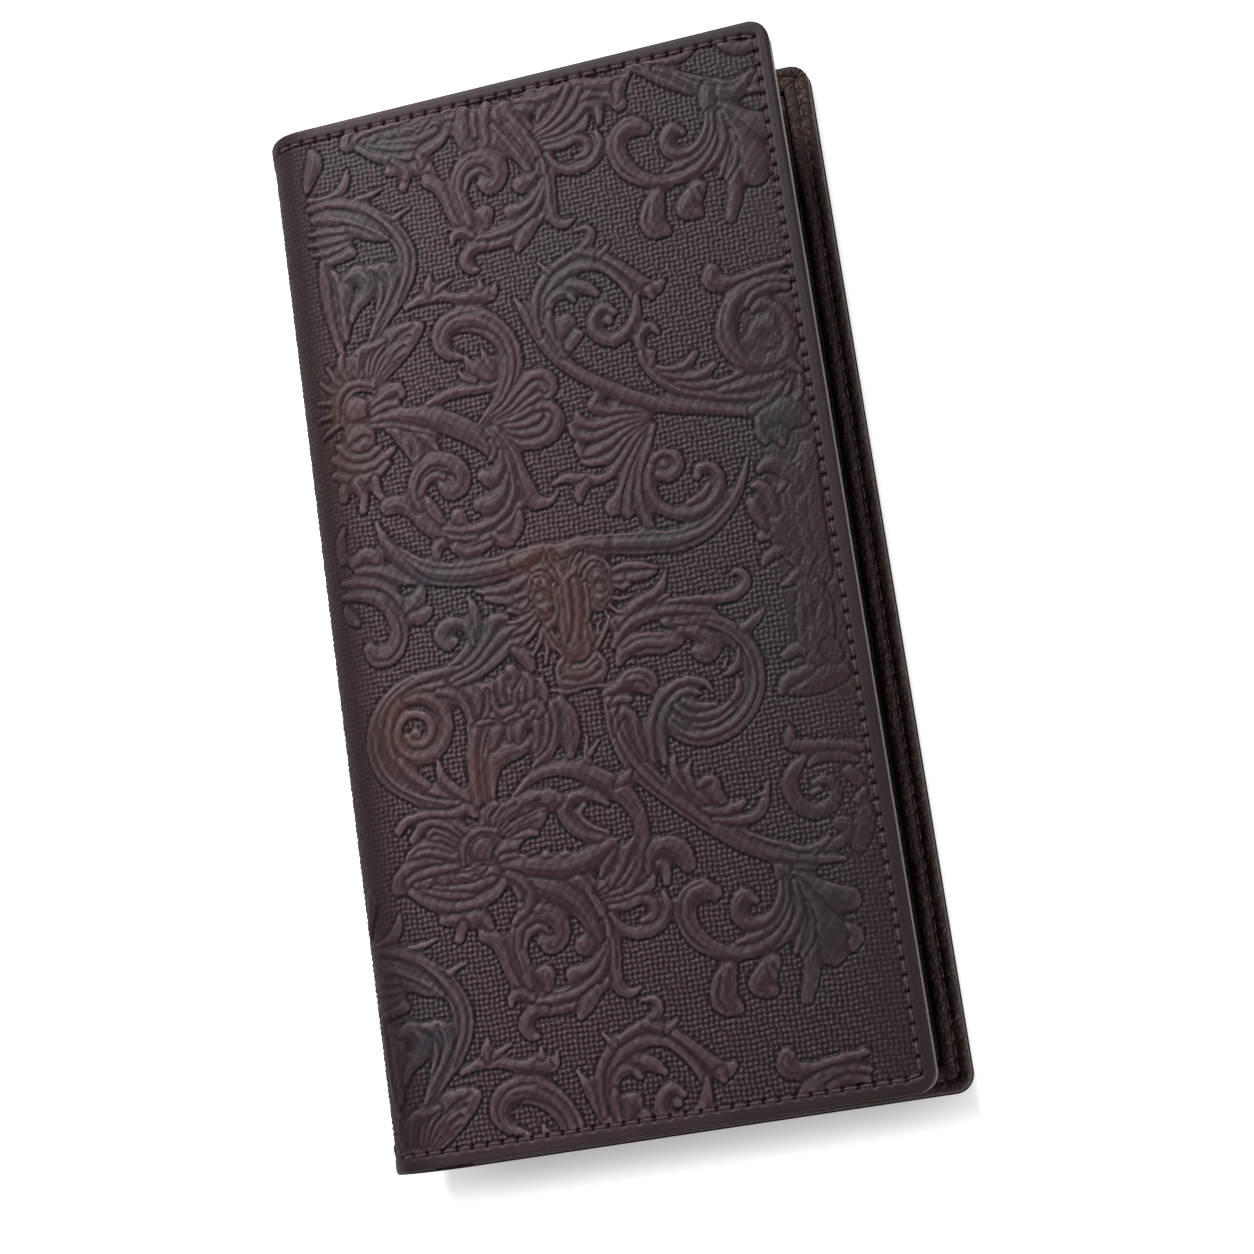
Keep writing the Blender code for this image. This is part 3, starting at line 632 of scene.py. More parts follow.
# %% The head
HORNS = [
    [9,18.6,.4, 10.3,15,1.1, 13,11.3,1.7, 17,8.2,2.1, 22,6.5,2.2, 28,6,2.2, 34,6.5,2, 38,7.2,1.5],
    [77.3,16.4,.3, 76,13.4,.7, 73.4,9.4,1.2, 69,5.9,1.6, 64,4.6,2, 58,5.2,2.1, 52,6.2,1.9, 46,7,1.5],
]
SKULL = [
    [34,6.3,1.8, 37.6,7.5,1.6, 41.4,6.7,1.8, 45.6,7.3,1.6, 49.6,6.5,1.9],
    [36,3.4,.5, 33.4,2.7,.8, 30.6,1.9,.8, 27.4,2.2,.6, 25.6,2.8,.25],
    [35.2,.5,.4, 33,.3,.5, 32.3,-.9,.5, 33.4,-1.8,.5, 35,-1,.4],
    [32,-.4,.5, 29.6,.4,.8, 27.4,1,.5],
    [50.4,1.6,.4, 53,2,.7, 56,1.4,.8, 58.8,.6,.3],
    [50.8,-.2,.4, 52.2,-.2,.6, 53.4,-1,.6, 52.2,-1.8,.45, 51,-1.4,.35],
    [53.6,-.4,.7, 56.4,-.4,.8, 58.4,-.2,.3],
    [42.6,2.6,2.6, 42.5,-1,2.8, 42.5,-5,2.7, 42.4,-9,2.5, 42.6,-10.9,2.5],
    [38.4,2,2.3, 37.6,-1,2.3, 38.2,-4,1.4],
    [47.4,2,2.3, 48,-1.4,2.2, 47.4,-4,1.2],
    [40.6,1.2,.4, 39.8,3.4,.5, 38.2,4.6,.5, 36.4,4.3,.4],
    [39.9,.9,.35, 38.8,3,.45, 37.4,3.6,.45, 35.9,2.7,.4, 35.2,1,.3],
    [36.9,2.2,.8],
    [44.4,1.8,.4, 45.4,3.3,.45, 47,4.3,.5, 48.8,3.9,.45, 50,2.5,.4, 50.1,1,.3],
    [45.2,.8,.35, 46,2.4,.4, 47.4,3.3,.45, 48.9,2.8,.35],
    [46.3,.4,.3, 46.9,1.6,.35, 48.2,2.3,.35, 49.2,1.4,.3],
    [35.6,-1.8,.25, 35.7,-.2,.28, 37.1,.7,.28, 38.6,0,.28, 38.8,-1.6,.25],
    [46.7,-2,.25, 46.9,-.4,.28, 48.1,.3,.28, 49.5,-.4,.28, 49.6,-2,.25],
    [37.2,-.9,1.1],
    [48.2,-1.2,1.1],
    [35.9,-2.6,.3, 37.4,-4.4,.4, 39,-3.4,.3],
    [46.8,-3,.3, 48,-4.2,.35, 49.6,-3,.3],
    [39.9,1,.5, 39.9,-2.6,.5, 39.5,-4.8,.55, 37.8,-6.1,.6],
    [43.7,.9,1.1, 43.7,-3,1.15, 43.4,-6,1.1, 42.6,-9,1.2, 42.4,-11,1.7],
    [45.5,.2,.4, 45.5,-3,.45, 45.2,-5.6,.4],
    [37,-6.6,.4, 38.4,-9.6,.5, 40,-11.6,.35],
    [38.4,-7.2,.3, 39.4,-9.6,.3],
    [49,-6.4,.35, 47.5,-9.2,.45, 45.9,-11.4,.35],
    [45.3,-7,.3, 45.6,-10,.3],
    [46.8,-7.2,.3, 46.6,-9.2,.3],
    [39.3,-12.6,.7, 38.9,-14.6,1.1, 39.4,-16.4,1, 42.4,-16.6,1.4, 45.6,-16.2,1.2, 46.5,-14.2,.9,
     45.9,-12.4,.5],
    [40,-14.6,1.3, 42.6,-15,1.7, 45.2,-14.6,1.3],
    [41.4,-14.2,.5, 43.4,-14.2,.6, 45.4,-12.9,.5],
    [36.9,-17.2,.3, 40,-18.2,.35, 43,-17.9,.35, 47,-18.3,.3],
    [41.8,3.4,.35, 41.7,4.8,.4, 40.9,6,.3],
    [42.5,2.6,.4, 42.5,4,.4, 41.9,5,.3],
    [40.6,4.2,.3, 39.8,5.8,.35, 40.3,7,.3, 41,6.6,.25],
    [39.5,4.3,.3, 38.7,5.6,.35, 39,7,.3],
    [42.9,3.4,.35, 43.7,5.2,.35, 44.9,6.2,.3],
    [43.6,3.4,.3, 44.7,5,.35, 45.7,5.8,.3],
    [46.3,4.8,.3, 46.6,6.4,.3],
]
FUR = [
    [35.4,-2.2,.3, 33,-2.4,.45, 30.8,-1.8,.3],
    [35.6,-3.2,.3, 33.2,-4,.45, 30.6,-4,.3],
    [35.9,-4.2,.3, 33.8,-5.6,.45, 31.4,-6.2,.3],
    [36.2,-5.2,.3, 34.6,-7,.45, 32.6,-8.4,.3],
    [36.8,-6.4,.3, 35.8,-8.6,.45, 34.4,-10.6,.3],
    [37.4,-7.8,.3, 37,-10.4,.45, 36.4,-12.6,.3],
    [49.4,-3,.3, 51.4,-3.6,.45, 53.4,-3.4,.3],
    [49,-4.2,.3, 50.4,-5.6,.45, 52,-6.4,.3],
    [48.4,-5.6,.3, 49.2,-7.4,.45, 50,-9,.3],
]
count_strokes("head:", HORNS, SKULL, FUR)

# %% Strokes at the lower left
LEFT_HOOK = [
    [2.8,18.8,.4, 1.7,16,1.1, 1.9,13,1],
    [4.2,12,1.2, 6.4,13.1,1.6, 8.2,11.8,1.3, 7,10.6,.9],
    [4.4,10.6,.6, 8,9.9,1.1, 11,8.4,1.2, 13,7.2,.9, 15,6.5,.4],
    [1,8.9,.5, 5,8.3,1, 8.8,6.8,1, 11.4,4,.9, 12.6,.8,.6],
    [12.4,1.6,1, 14.2,2.8,1.7, 15.7,4.6,1],
    [13.6,.2,1.3, 15.4,.3,1.4, 16.8,1.2,.7],
    [.8,6.4,.6, 4.6,6,1.1, 7.8,4.7,1.3, 9.9,1.8,1.4, 10.7,-1.8,1.7, 9.1,-5,1.9, 6.4,-5.6,1.9, 5,-3.9,1.4],
    [1.2,4.3,.6, 1.9,2.6,1.2, 3.1,1.2,.8],
]
RING = [
    [24.2,1.8,.5, 25,-1,1, 24.6,-4,1, 23,-7,.9, 20,-9.4,.8, 16.4,-10.4,.4],
    [30.6,-3,.5, 28.4,-3,1.3, 26.9,-5.4,.9, 24.4,-8.4,.8, 21,-10.6,.7, 17,-11.4,.4],
    [32,-5,.4, 29.8,-5.8,.8, 27,-8,.8, 23.8,-10.6,.7, 19,-12.2,.4],
    [33.6,-7.4,.4, 30.8,-8.2,.8, 27.4,-10.4,.8, 23.6,-12.2,.7, 19.4,-13.2,.4],
    [24,-6.6,.5, 23.6,-4,.9, 22.2,-2.4,1, 20,-2.2,1.4, 18.4,-3.7,1.5, 19.3,-5.6,1.3, 20.9,-5.2,.6],
    [21,-10.2,.5, 14.6,-10.7,1.2, 9.8,-12,1.5, 6.2,-14.9,1.6, 4.1,-18.8,1.7, 3.8,-23,1.7, 5.4,-27,1.7,
     8.8,-30.4,1.5, 13,-32.8,1.2, 18,-33.8,.5],
    [17.6,-12.5,.5, 12.8,-13,1, 9.1,-14.5,.9, 7,-17.4,.9, 6.4,-21,.9, 7.3,-25.1,1, 9.8,-28.5,1, 13,-31,.9,
     17,-32.6,.5],
    [10,-14.2,.4, 13.8,-14.2,1.1, 16.6,-16.6,1.2, 17.2,-20,1.2, 15.6,-23.4,1.2, 12.4,-24.8,1.2, 9.2,-23.7,1,
     7.9,-20.9,.8, 8.7,-18,.7, 11,-16.7,.8, 13.7,-17.8,.8, 14.4,-20.4,.8, 12.8,-22.3,.7, 10.6,-22,.6,
     9.9,-20.4,.5],
    [11.4,-20.2,1],
    [8,-25,1, 9.4,-27.2,1.2, 12.2,-29.8,.9],
    [14.8,-26,.4, 15.2,-29,1, 17.4,-31.8,1.1, 20.4,-33.8,.6],
]
CLUSTER = [
    [31,-8.8,.6, 33,-10.6,1.3, 33.8,-12.6,.9],
    [17.4,-14.2,1.1, 20.4,-15.4,1.6, 23.4,-16,2.2, 27,-16.2,2.4, 31,-16.2,2.4, 34.2,-17,1.9],
    [23,-19,1.5, 27,-20,1.6, 31,-20.4,1.7, 34.6,-20.6,1.7],
    [16.6,-13.8,.7, 19.6,-15,.9, 21.4,-17.4,1, 21.8,-20.2,1, 21.2,-22.6,.7],
    [22.2,-14.8,1.1, 23.4,-16.6,1.4, 23.2,-18.8,1],
    [25.4,-15.4,.5, 25.3,-18,.7, 24,-20.2,.5],
    [28,-13.8,1, 27.8,-15.8,1.1, 28,-17.6,.8],
    [26.2,-16,.5, 26.5,-18.6,.7, 28,-19.7,.8, 29.8,-18.9,.7, 30.4,-16.8,.6, 31.6,-14.6,.4],
    [30,-12.4,1.2, 30.6,-13.8,1, 30,-15.2,.6],
    [33,-14,.6, 33.4,-15.8,1.1, 33,-18,1],
    [35.2,-15,.6, 35.4,-17,.9, 35.4,-19,.5],
    [21.8,-21,.4, 24.6,-20.6,.45, 27,-21.2,.4, 29.6,-20.6,.5, 32,-20.6,.4],
    [31.6,-20,.7, 33.6,-19,.9, 34.8,-20.4,.8, 33.6,-21.4,.5],
    [38,-19.4,.9, 39.2,-22,1.5, 39.2,-25.6,1.6, 38.6,-29,.8],
    [31.8,-29.8,.5, 34.4,-28.2,1, 36.2,-25.6,1, 36.9,-22.6,.9, 36.4,-19.8,.6],
    [32.6,-28,.5, 34.4,-26.2,.8, 35.3,-23.8,.7, 35.4,-21.6,.5],
    [32.6,-26.6,.9, 33.4,-24.6,.9, 33.4,-22.6,.8],
    [20.9,-34.2,.9, 20.9,-30,1.1, 21.2,-25.4,1.2, 22.2,-22,1],
    [22.5,-34,.32, 22.6,-28.4,.4, 23.4,-24,.4, 25,-21.6,.35],
    [23.2,-34,.32, 23.2,-29,.4, 24,-25,.4, 25.6,-22,.3],
    [23.9,-33.9,.4, 24.1,-31,.9, 24.9,-28.2,1.5, 27,-26.8,1.8, 29.6,-26.4,1.5, 31.4,-25.8,.7],
    [25.2,-25,1, 25.8,-23.2,1.4, 26.7,-22.2,1],
    [28.3,-24.6,.5, 28.4,-22.6,.45],
    [29.8,-25,.8, 30,-23.4,1.3, 30.8,-22,.9],
]
BRANCH = [
    [41.6,-31.6,.8, 41.5,-29,.6, 42,-26.4,.25],
    [42,-29.6,.5, 44,-27.4,.25],
    [38.4,-30.8,.8, 35.4,-29.8,.3],
    [27.4,-34.4,.4, 30.4,-32.2,.9, 33.6,-31.1,1.1, 37.6,-31.4,1.3, 41,-32.7,1.6, 44.6,-35,1.9,
     47.6,-38.2,1.7, 49.2,-42,1.4, 49.4,-46.4,1.2, 48.2,-50.4,1, 45.6,-53.6,.7],
    [44.6,-45,.5, 41.2,-44.2,.9, 38,-42.2,1.2, 36.2,-39.6,1.2, 36.6,-37.1,1.1, 38.8,-36.2,1, 41.6,-36.8,.9,
     44,-38.6,.5],
    [40,-38,.4, 38.8,-39.4,.6, 40.2,-41.6,.6, 43.4,-43.4,.4],
    [47.6,-45.4,.4, 46,-47.4,.9, 44.8,-50,.9, 42.6,-52.6,.6],
    [44.6,-45.8,.4, 43,-48,.8, 41,-50.6,.5],
]
LOWER_FLOWER = [
    [6,-36.8,.9, 8,-35.1,.8, 12,-35,.8, 16,-35.6,.8, 18.8,-35,.9, 20.2,-36.4,.7],
    [13,-36.6,.9, 16.4,-37.8,1.2, 18.4,-39.2,.9],
    [8.4,-38.8,.8, 10.2,-37,.8, 12.4,-36.4,.7, 15.2,-37.6,.6, 17.2,-39.4,.4],
    [11,-38.6,.3, 12.6,-37.8,.35, 14.4,-38.8,.35, 16.6,-40.4,.3],
    [11,-39.6,.3, 13.4,-39.4,.35, 16,-41,.3],
    [8,-41.6,1.3, 11,-41.4,1.6, 14.2,-42.4,1.2, 17,-43.4,.7],
    [7.6,-41,.5, 10,-40.1,.5, 12.8,-40.6,.5, 15.4,-42,.4],
    [4.8,-46.6,1.5, 5.6,-45,1.5, 7.4,-43.4,1.2, 10.6,-43,.7, 13,-43.4,.4],
    [6.6,-46,1, 10,-45,.8, 13.6,-44.8,.7, 17,-45,.6],
    [8,-47,.9, 12,-46.7,1, 16,-46.9,1.3, 19.6,-46.4,1.6, 22.2,-46.8,1.1],
    [9,-46.6,.25, 10.6,-46.2,.3, 11.4,-47,.25],
    [12,-46.6,.25, 13.4,-46.2,.3, 14.2,-47.2,.25],
    [15.4,-46.8,.3, 18,-47.6,.35, 20.8,-46.2,.3],
    [17.4,-45.9,.3, 19.6,-46.4,.35, 21.4,-45.4,.3],
    [11,-47.8,.5, 14.6,-48.6,.7, 18.6,-48.8,.9, 22,-47.9,.7],
    [8.6,-47.8,.5, 12.2,-49.2,.8, 15.8,-50,.9, 17.8,-50.2,.5],
    [7,-47.9,.8, 10,-50.1,1.1, 14,-51.7,1.2, 18.4,-51.7,1.1, 22,-50.5,.9, 24,-48.8,.6],
    [12.2,-53.6,1, 15.4,-53.9,1.1, 18.8,-54.4,1.5, 20.2,-56,.9],
    [15.6,-54.8,.9, 14.4,-57.2,.9],
    [21.4,-38.6,.9, 22.4,-36.6,.9, 24,-35.3,.8],
    [23.4,-38.4,1.1, 26.4,-37,2, 30,-36.4,2.2, 33.6,-36,2, 35.6,-36.4,1.2],
    [25,-40,.8, 28.4,-39.6,1.5, 31,-39,1.6, 32,-37.8,1.2],
    [22.2,-39,.25, 22.4,-37,.3, 23.4,-35.8,.3],
    [23,-39.2,.25, 23.9,-37,.3, 25.6,-35.6,.3],
    [23.8,-39.4,.25, 25.4,-37.2,.35, 27.6,-35.9,.3],
    [24.4,-39.8,.25, 26.8,-37.8,.35, 29.6,-36.6,.35, 32,-36,.3],
    [25,-40.2,.25, 27.8,-38.8,.35, 31,-37.8,.35, 33.2,-37.4,.3],
    [25.6,-40.8,.25, 28.6,-40,.35, 31,-39.4,.3],
    [27,-41.6,.5, 29,-41.2,.7, 30.8,-41.4,.5],
    [17,-44.6,.5, 17.3,-42,.7, 18.8,-39.9,.7, 21.2,-39.2,.6, 23.6,-39.9,.5],
    [20.9,-42.7,2.3],
    [17.8,-44.8,.24, 18.3,-42.2,.24, 20.2,-40.3,.24, 22.4,-40.3,.24, 24.2,-41.6,.24],
    [15.6,-45.6,.28, 18,-45.5,.3, 20.2,-44.8,.3, 22.2,-45.2,.28],
    [23.2,-43.8,.9, 24.6,-43,1.1, 26.4,-42.9,.8, 27.9,-42.2,.4],
    [24,-44.8,.7, 26.4,-44.6,.5],
    [29,-50,1.6, 32.4,-51.8,1.9, 36,-54.4,1.8, 38,-57.8,1.5, 39.2,-61,1],
    [24.6,-46.2,.9, 28,-46.8,1.5, 32,-47.8,1.7, 36,-48.2,1.9, 40,-47.2,1.8, 43.6,-45.4,1],
    [24.8,-47.6,.8, 27,-49.4,1.2, 28.2,-52,1.2, 26.8,-54.4,1.2, 24.8,-56,.7],
    [26.2,-53.3,.7],
]
count_strokes("lower left:", LEFT_HOOK, RING, CLUSTER, BRANCH, LOWER_FLOWER)

# %% Strokes at the upper right
TOP_VOLUTE = [
    [35.4,91,1.2, 34.6,87.6,1.8, 35.2,84.4,1.6, 36.6,82.8,.9],
    [39.6,91,1.2, 38.9,87.6,1.5, 38.8,84.4,1.2, 38,83,.6],
    [37,89.8,.7, 37,86,.8],
    [43,90.2,1.4, 44.6,86.6,1.9, 46.6,82.6,2.2, 48.2,78.4,1.9, 49,73.6,1.4, 48.9,69.6,1.2, 49.3,66.8,1.1,
     51,65.6,.9, 52.8,66.2,.4],
    [40.3,87,.6, 42.8,83.2,.9, 44.8,79.4,1, 46.4,76.2,.6],
    [34.2,64.9,.9, 38,65,1.1, 41.6,65.3,.9, 45,66.4,.9, 47.4,68.2,.5],
    [34.2,66.6,1.2, 38,66.7,1.3, 42,67.3,1.3, 45.4,69.2,1.3, 47.5,72,1, 48.2,74.8,.5],
    [45.6,67.2,.8, 43.4,65.2,1.5, 41.8,63.1,.8],
    [27,79.5,1.5, 28.8,78,1.4, 30.2,74.8,1.4, 31.2,71.4,1.4, 33.4,68,1.4],
    [33.6,69.6,1.2, 32.8,73.2,1.6, 32.2,77,1.5, 33.6,80.3,1.5, 36.8,81.6,1.7, 39.8,80,1.9, 40.1,77.3,1.8,
     38.4,75.7,1.6, 37,76.7,1.1],
    [33.7,76.4,.4, 34.7,78.5,.6, 37,79.2,.6, 38.6,78,.5],
    [36.8,68.6,.8, 36.7,71,1.7],
    [47.6,73.6,.4, 45,71,.9, 41.6,70.2,1.5],
    [48,78.6,.4, 47,75.8,.9, 44.2,74.8,1.8],
    [29.8,66.6,.4, 30.3,68.1,.9, 32,68.6,1, 33.8,67.4,.8],
    [36,65.2,.8, 33.4,65,1.1, 31.9,63.2,1.3, 32.7,61.3,1.1, 33.9,60.9,.5],
]
TOP_SHELL = [
    [47.5,83.6,.4, 50,84.8,.7, 53,87.2,.8, 55.4,91,.8],
    [48,83,.4, 51,83.9,.7, 54.6,86.4,.8, 57.4,90,.8],
    [48.5,82.4,.4, 52,82.8,.7, 55.6,84.6,.8, 58.2,86.6,.9, 60.2,85.6,.9, 60,83,.7],
    [49,81.7,.4, 53,81.5,.7, 56.6,82.6,.8, 57.8,84.2,.6],
    [49.6,80.4,.5, 52.6,80.3,.8, 55.6,80.9,.8, 57.4,79.6,.9, 56.8,77.7,.8, 54.8,77.4,.5],
    [49.4,79.2,.5, 51.5,76.3,1, 54.8,75.2,1.1, 58,76.2,1, 59.6,78.8,.9, 59.2,81.4,.5],
]
TOP_BAND = [
    [45.4,90.6,.7, 50,90,1.2, 55,91,1.2, 60,90.2,1.4, 64,89.4,1.6, 66.4,90.4,.6],
    [64.6,88.8,1.4, 63.8,85.8,.5],
]
C_SCROLL = [
    [80.7,81.7,1.6, 84.2,78.1,2.2, 87.7,75.7,2.6, 90.5,75.1,2.2],
    [89.1,70.1,1.4, 90.7,69.1,1.5, 89.7,67.3,1.2],
    [81.7,78.7,1.8, 84.3,73.7,2.6, 86.7,69.7,2.7, 86.5,66.9,2.4],
    [81.1,76.7,1.4, 82.3,71.7,1.6, 82.7,67.3,1.6, 82.2,63.5,1.4, 80.9,59.9,1.1],
    [71.6,90.3,.6, 74.6,88.6,1, 78,86.2,1.5, 81.6,84,2.2, 85.2,83,2, 88.8,85.6,.6],
    [80.6,84.4,1.6, 80.1,81.4,1.6, 80.9,78.4,1.2],
    [69,67.6,1, 67.5,65,2.1, 67,61.8,2.4, 68.8,60.3,1.4],
    [76.6,67,1.1, 74.6,65,2, 73.2,63.2,1.8, 75.2,62.2,1.3],
    [83.3,75.8,.4, 83.9,72,.6, 83,69,.6, 81.4,67,.5],
    [81.7,79.4,.4, 82.5,75,.6, 81.9,71,.6, 80.2,67.8,.5],
    [72,69.3,.5, 77,69.8,.9, 80.6,71.8,.9, 82.1,75.2,.8, 81.8,79.4,.5],
    [68,79.9,1.4, 65.6,80.8,2, 63.1,79.4,1.8, 62.5,76.2,1.8, 63.8,73,1.8, 66.4,70.6,1.5, 70,69.1,1.2,
     74,69.3,1, 78,71.2,.8, 80.2,74.4,.6, 80.8,78.4,.4],
    [70.6,71,.4, 74.2,71.6,.9, 77.6,73.4,.9, 79.8,76.4,.8, 80.4,80.4,.4],
    [74.8,77.5,.7, 73,78.4,1.5, 71.7,77,1.5, 71.9,74.7,1.4, 74.2,73.5,1.2, 77,74.3,1, 78.8,76.6,.8,
     79.6,79.8,.4],
]
MIDDLE_SCROLL = [
    [40,54,.4, 42,50,1.2, 43.7,46,1.3, 46,42,1.3, 49.6,38,1.3, 54,34.7,1.4, 59,31.3,1.5, 64.5,28.8,1.4,
     70,27.2,1.2, 75,25.6,1, 79.4,24.2,.8],
    [61.4,40.6,.9, 61.8,37.4,1, 64,33.6,1, 67.6,30.8,1, 72,29,.9, 77,27.6,.8, 82,26.8,.7, 85.4,28,.3],
    [61.3,40.4,.9, 61.7,42.6,1, 63.6,43.6,1, 64.9,42.2,.6],
    [63,36.6,.6, 63.1,38.6,1],
    [64.2,35.8,.5, 66.4,34.8,.9, 69.2,35.3,1, 71,37,.6],
    [65.2,34.2,.5, 68,32.9,1, 71.6,32.8,1.1, 74,34.2,.7],
    [67.2,32.2,.5, 70.6,30.9,.8, 74,30.8,.8, 77.2,31.2,.6, 78.6,31.8,.8],
    [43.7,46,.7, 43.5,50,.9, 44.2,54,.9, 46.8,57.2,.9, 50,59,.9, 53.6,60.4,1, 55.5,62.2,.9, 55,64,.7,
     52.8,64,.4],
    [53,60,.9, 56.6,58.1,1.1, 60,55.3,1.2, 63,52.2,1.3, 65.2,50.2,1.4, 67,51,.7],
    [64.6,50,1.3, 64.8,48.8,.7],
    [47,57.4,.8, 45.2,59.6,.3],
    [56.4,58.2,.7, 58.2,59.8,.5],
    [44.6,48.6,.5, 46,52.8,.9, 48.6,55.8,.9, 52,57,.9, 56,56.4,.8, 59,53.7,.8, 61.1,50.2,.8, 62,46.4,.6,
     61.2,43,.4],
    [45.4,49.6,.5, 46.9,52.4,1, 49.4,53.1,1, 50.7,51.4,.6],
    [50.4,54.2,1, 53,53.3,1.3, 55,51.6,.7],
    [47.6,41.6,.8, 46.6,44.6,1.3, 45.7,47.6,1.2, 46,50,.5],
    [47.6,45.4,1, 48.8,47.5,1.8],
    [48.6,42.8,.8, 50.6,45,1.1],
    [62,49.4,.5, 61.5,46.4,1, 59.6,43.6,1.2, 56.6,42.6,1.3, 53.9,44.4,1.3, 53.8,47.3,1.2, 55.9,48.8,1.1,
     57.7,47.5,.7],
    [56.5,46.2,.9],
]
count_strokes("upper right:", TOP_VOLUTE, TOP_SHELL, TOP_BAND, C_SCROLL, MIDDLE_SCROLL)

# %% Strokes at the right edge and the great spiral
RIGHT_VOLUTE = [
    [76.1,51,1.5, 75.9,49.4,1.9, 77.4,48.4,1.6, 81,48.4,1.1, 85,49.1,1, 89.4,49.7,.7],
    [89.4,46.8,.7, 86,46.8,1.2, 82.2,46.4,1.6, 79,44.2,1.9, 77.3,41,2, 77.2,37.8,2.1, 78.7,34.6,2,
     81.6,32.6,1.8, 85,32.3,1.7, 87.4,34.4,1.6, 87.9,38,1.5, 86.6,41.4,1.2, 84.2,43.2,.9, 82.2,42.2,.5],
    [81.3,43.4,.5, 82.8,44.9,.9, 85.8,45.8,1, 89,45.2,.7],
    [85.8,36.4,.9, 85,39,1.3, 82.9,39.1,1.5, 81.9,37.4,1.4, 82.8,35.8,.9, 84.8,35.1,.5],
    [74.6,29.2,.6, 78,29.2,1.2, 82,29.5,1.1, 85.6,30.1,.5],
    [82.4,23.4,2.6, 85.8,22.6,2.6, 88,21.4,1.4],
    [79.4,24.4,.8, 82,25.4,1, 84,26.8,.8, 85.8,28.4,.3],
    [80.3,22.4,.9, 80.4,20,1.1, 81,18.6,.7],
    [83.4,19.8,1.5, 83.8,17.8,.8],
    [87.4,31.3,1, 88.8,29.9,.6],
    [88.6,28.7,.5, 88.3,26.2,.6, 87.3,24.7,.4],
    [86.6,27.8,.4, 86,26.4,.5],
    [85.4,12.4,.7, 86.6,13.8,.35],
    [79,13.9,.7, 80.5,14.7,1.2, 82.5,14,1.5, 84.4,11.8,1.5, 85.4,9,1.1],
    [77.3,11.4,.5, 78.8,11.2,1, 80.2,9.2,1.3, 80.6,6.2,1.2],
    [76.9,8.4,1.2, 77.6,6.2,1.4, 78.6,4,1],
    [77.5,2.2,.9, 79,1.9,.5],
    [81.8,9.3,.5, 83,10.5,.6],
]
RIGHT_EDGE = [
    [77.2,-2.4,.6, 78.5,-1.3,1, 80.6,-.8,1, 82.2,-1.4,.5],
    [82.1,-2.7,.5, 82.9,-3.6,.7],
    [79.6,-6.9,.3, 81.4,-6.4,.8, 83.2,-5.2,1],
    [86.6,-3.6,.3, 86,-5.2,.5, 85,-6.8,.3],
    [88.2,-4.4,.3, 87.2,-6.4,.5, 86.6,-8,.3],
    [83,-8.8,.5, 82.4,-11.6,.9, 82.1,-15,1, 81.9,-18,.8],
    [85.3,-11.2,.4, 84.2,-12.6,.7, 83.7,-14.6,.4],
    [78.7,-18.9,1, 80.3,-18.4,1.1, 82,-18.9,.8],
    [86.3,-19.1,1.8, 87,-20.8,1.5],
    [76.9,-25,.8, 78.2,-23.5,1.4, 80.6,-22.9,1.3, 82.8,-22,.8],
    [77.4,-32,.9, 77,-34,1.1, 79.6,-35,1.2, 84,-35.8,1.1, 88.8,-36.8,.8],
    [78.9,-37.1,.8, 76.7,-38.8,1.3, 75.9,-41.4,1.5, 76.8,-44.3,1.5, 79.4,-46.2,1.4, 82.4,-45.6,1.2,
     83.6,-43.2,1, 82.4,-41.2,.8, 80.2,-41.4,.7],
    [79.6,-38.3,.5, 82,-37.3,.9, 85.4,-37.8,.9, 88,-38.8,.5],
    [79.4,-43,.5, 80.9,-42.6,.6],
    [86.4,-40.7,1.2, 87.5,-42.2,1.3],
    [87.3,-45.7,1.1, 88.4,-43.9,.5],
    [83.1,-48.9,1.1, 84.7,-49.2,1.1, 84.3,-51.2,1, 82.5,-52.2,.9, 80.2,-53,.6, 78.8,-53.6,.3],
]
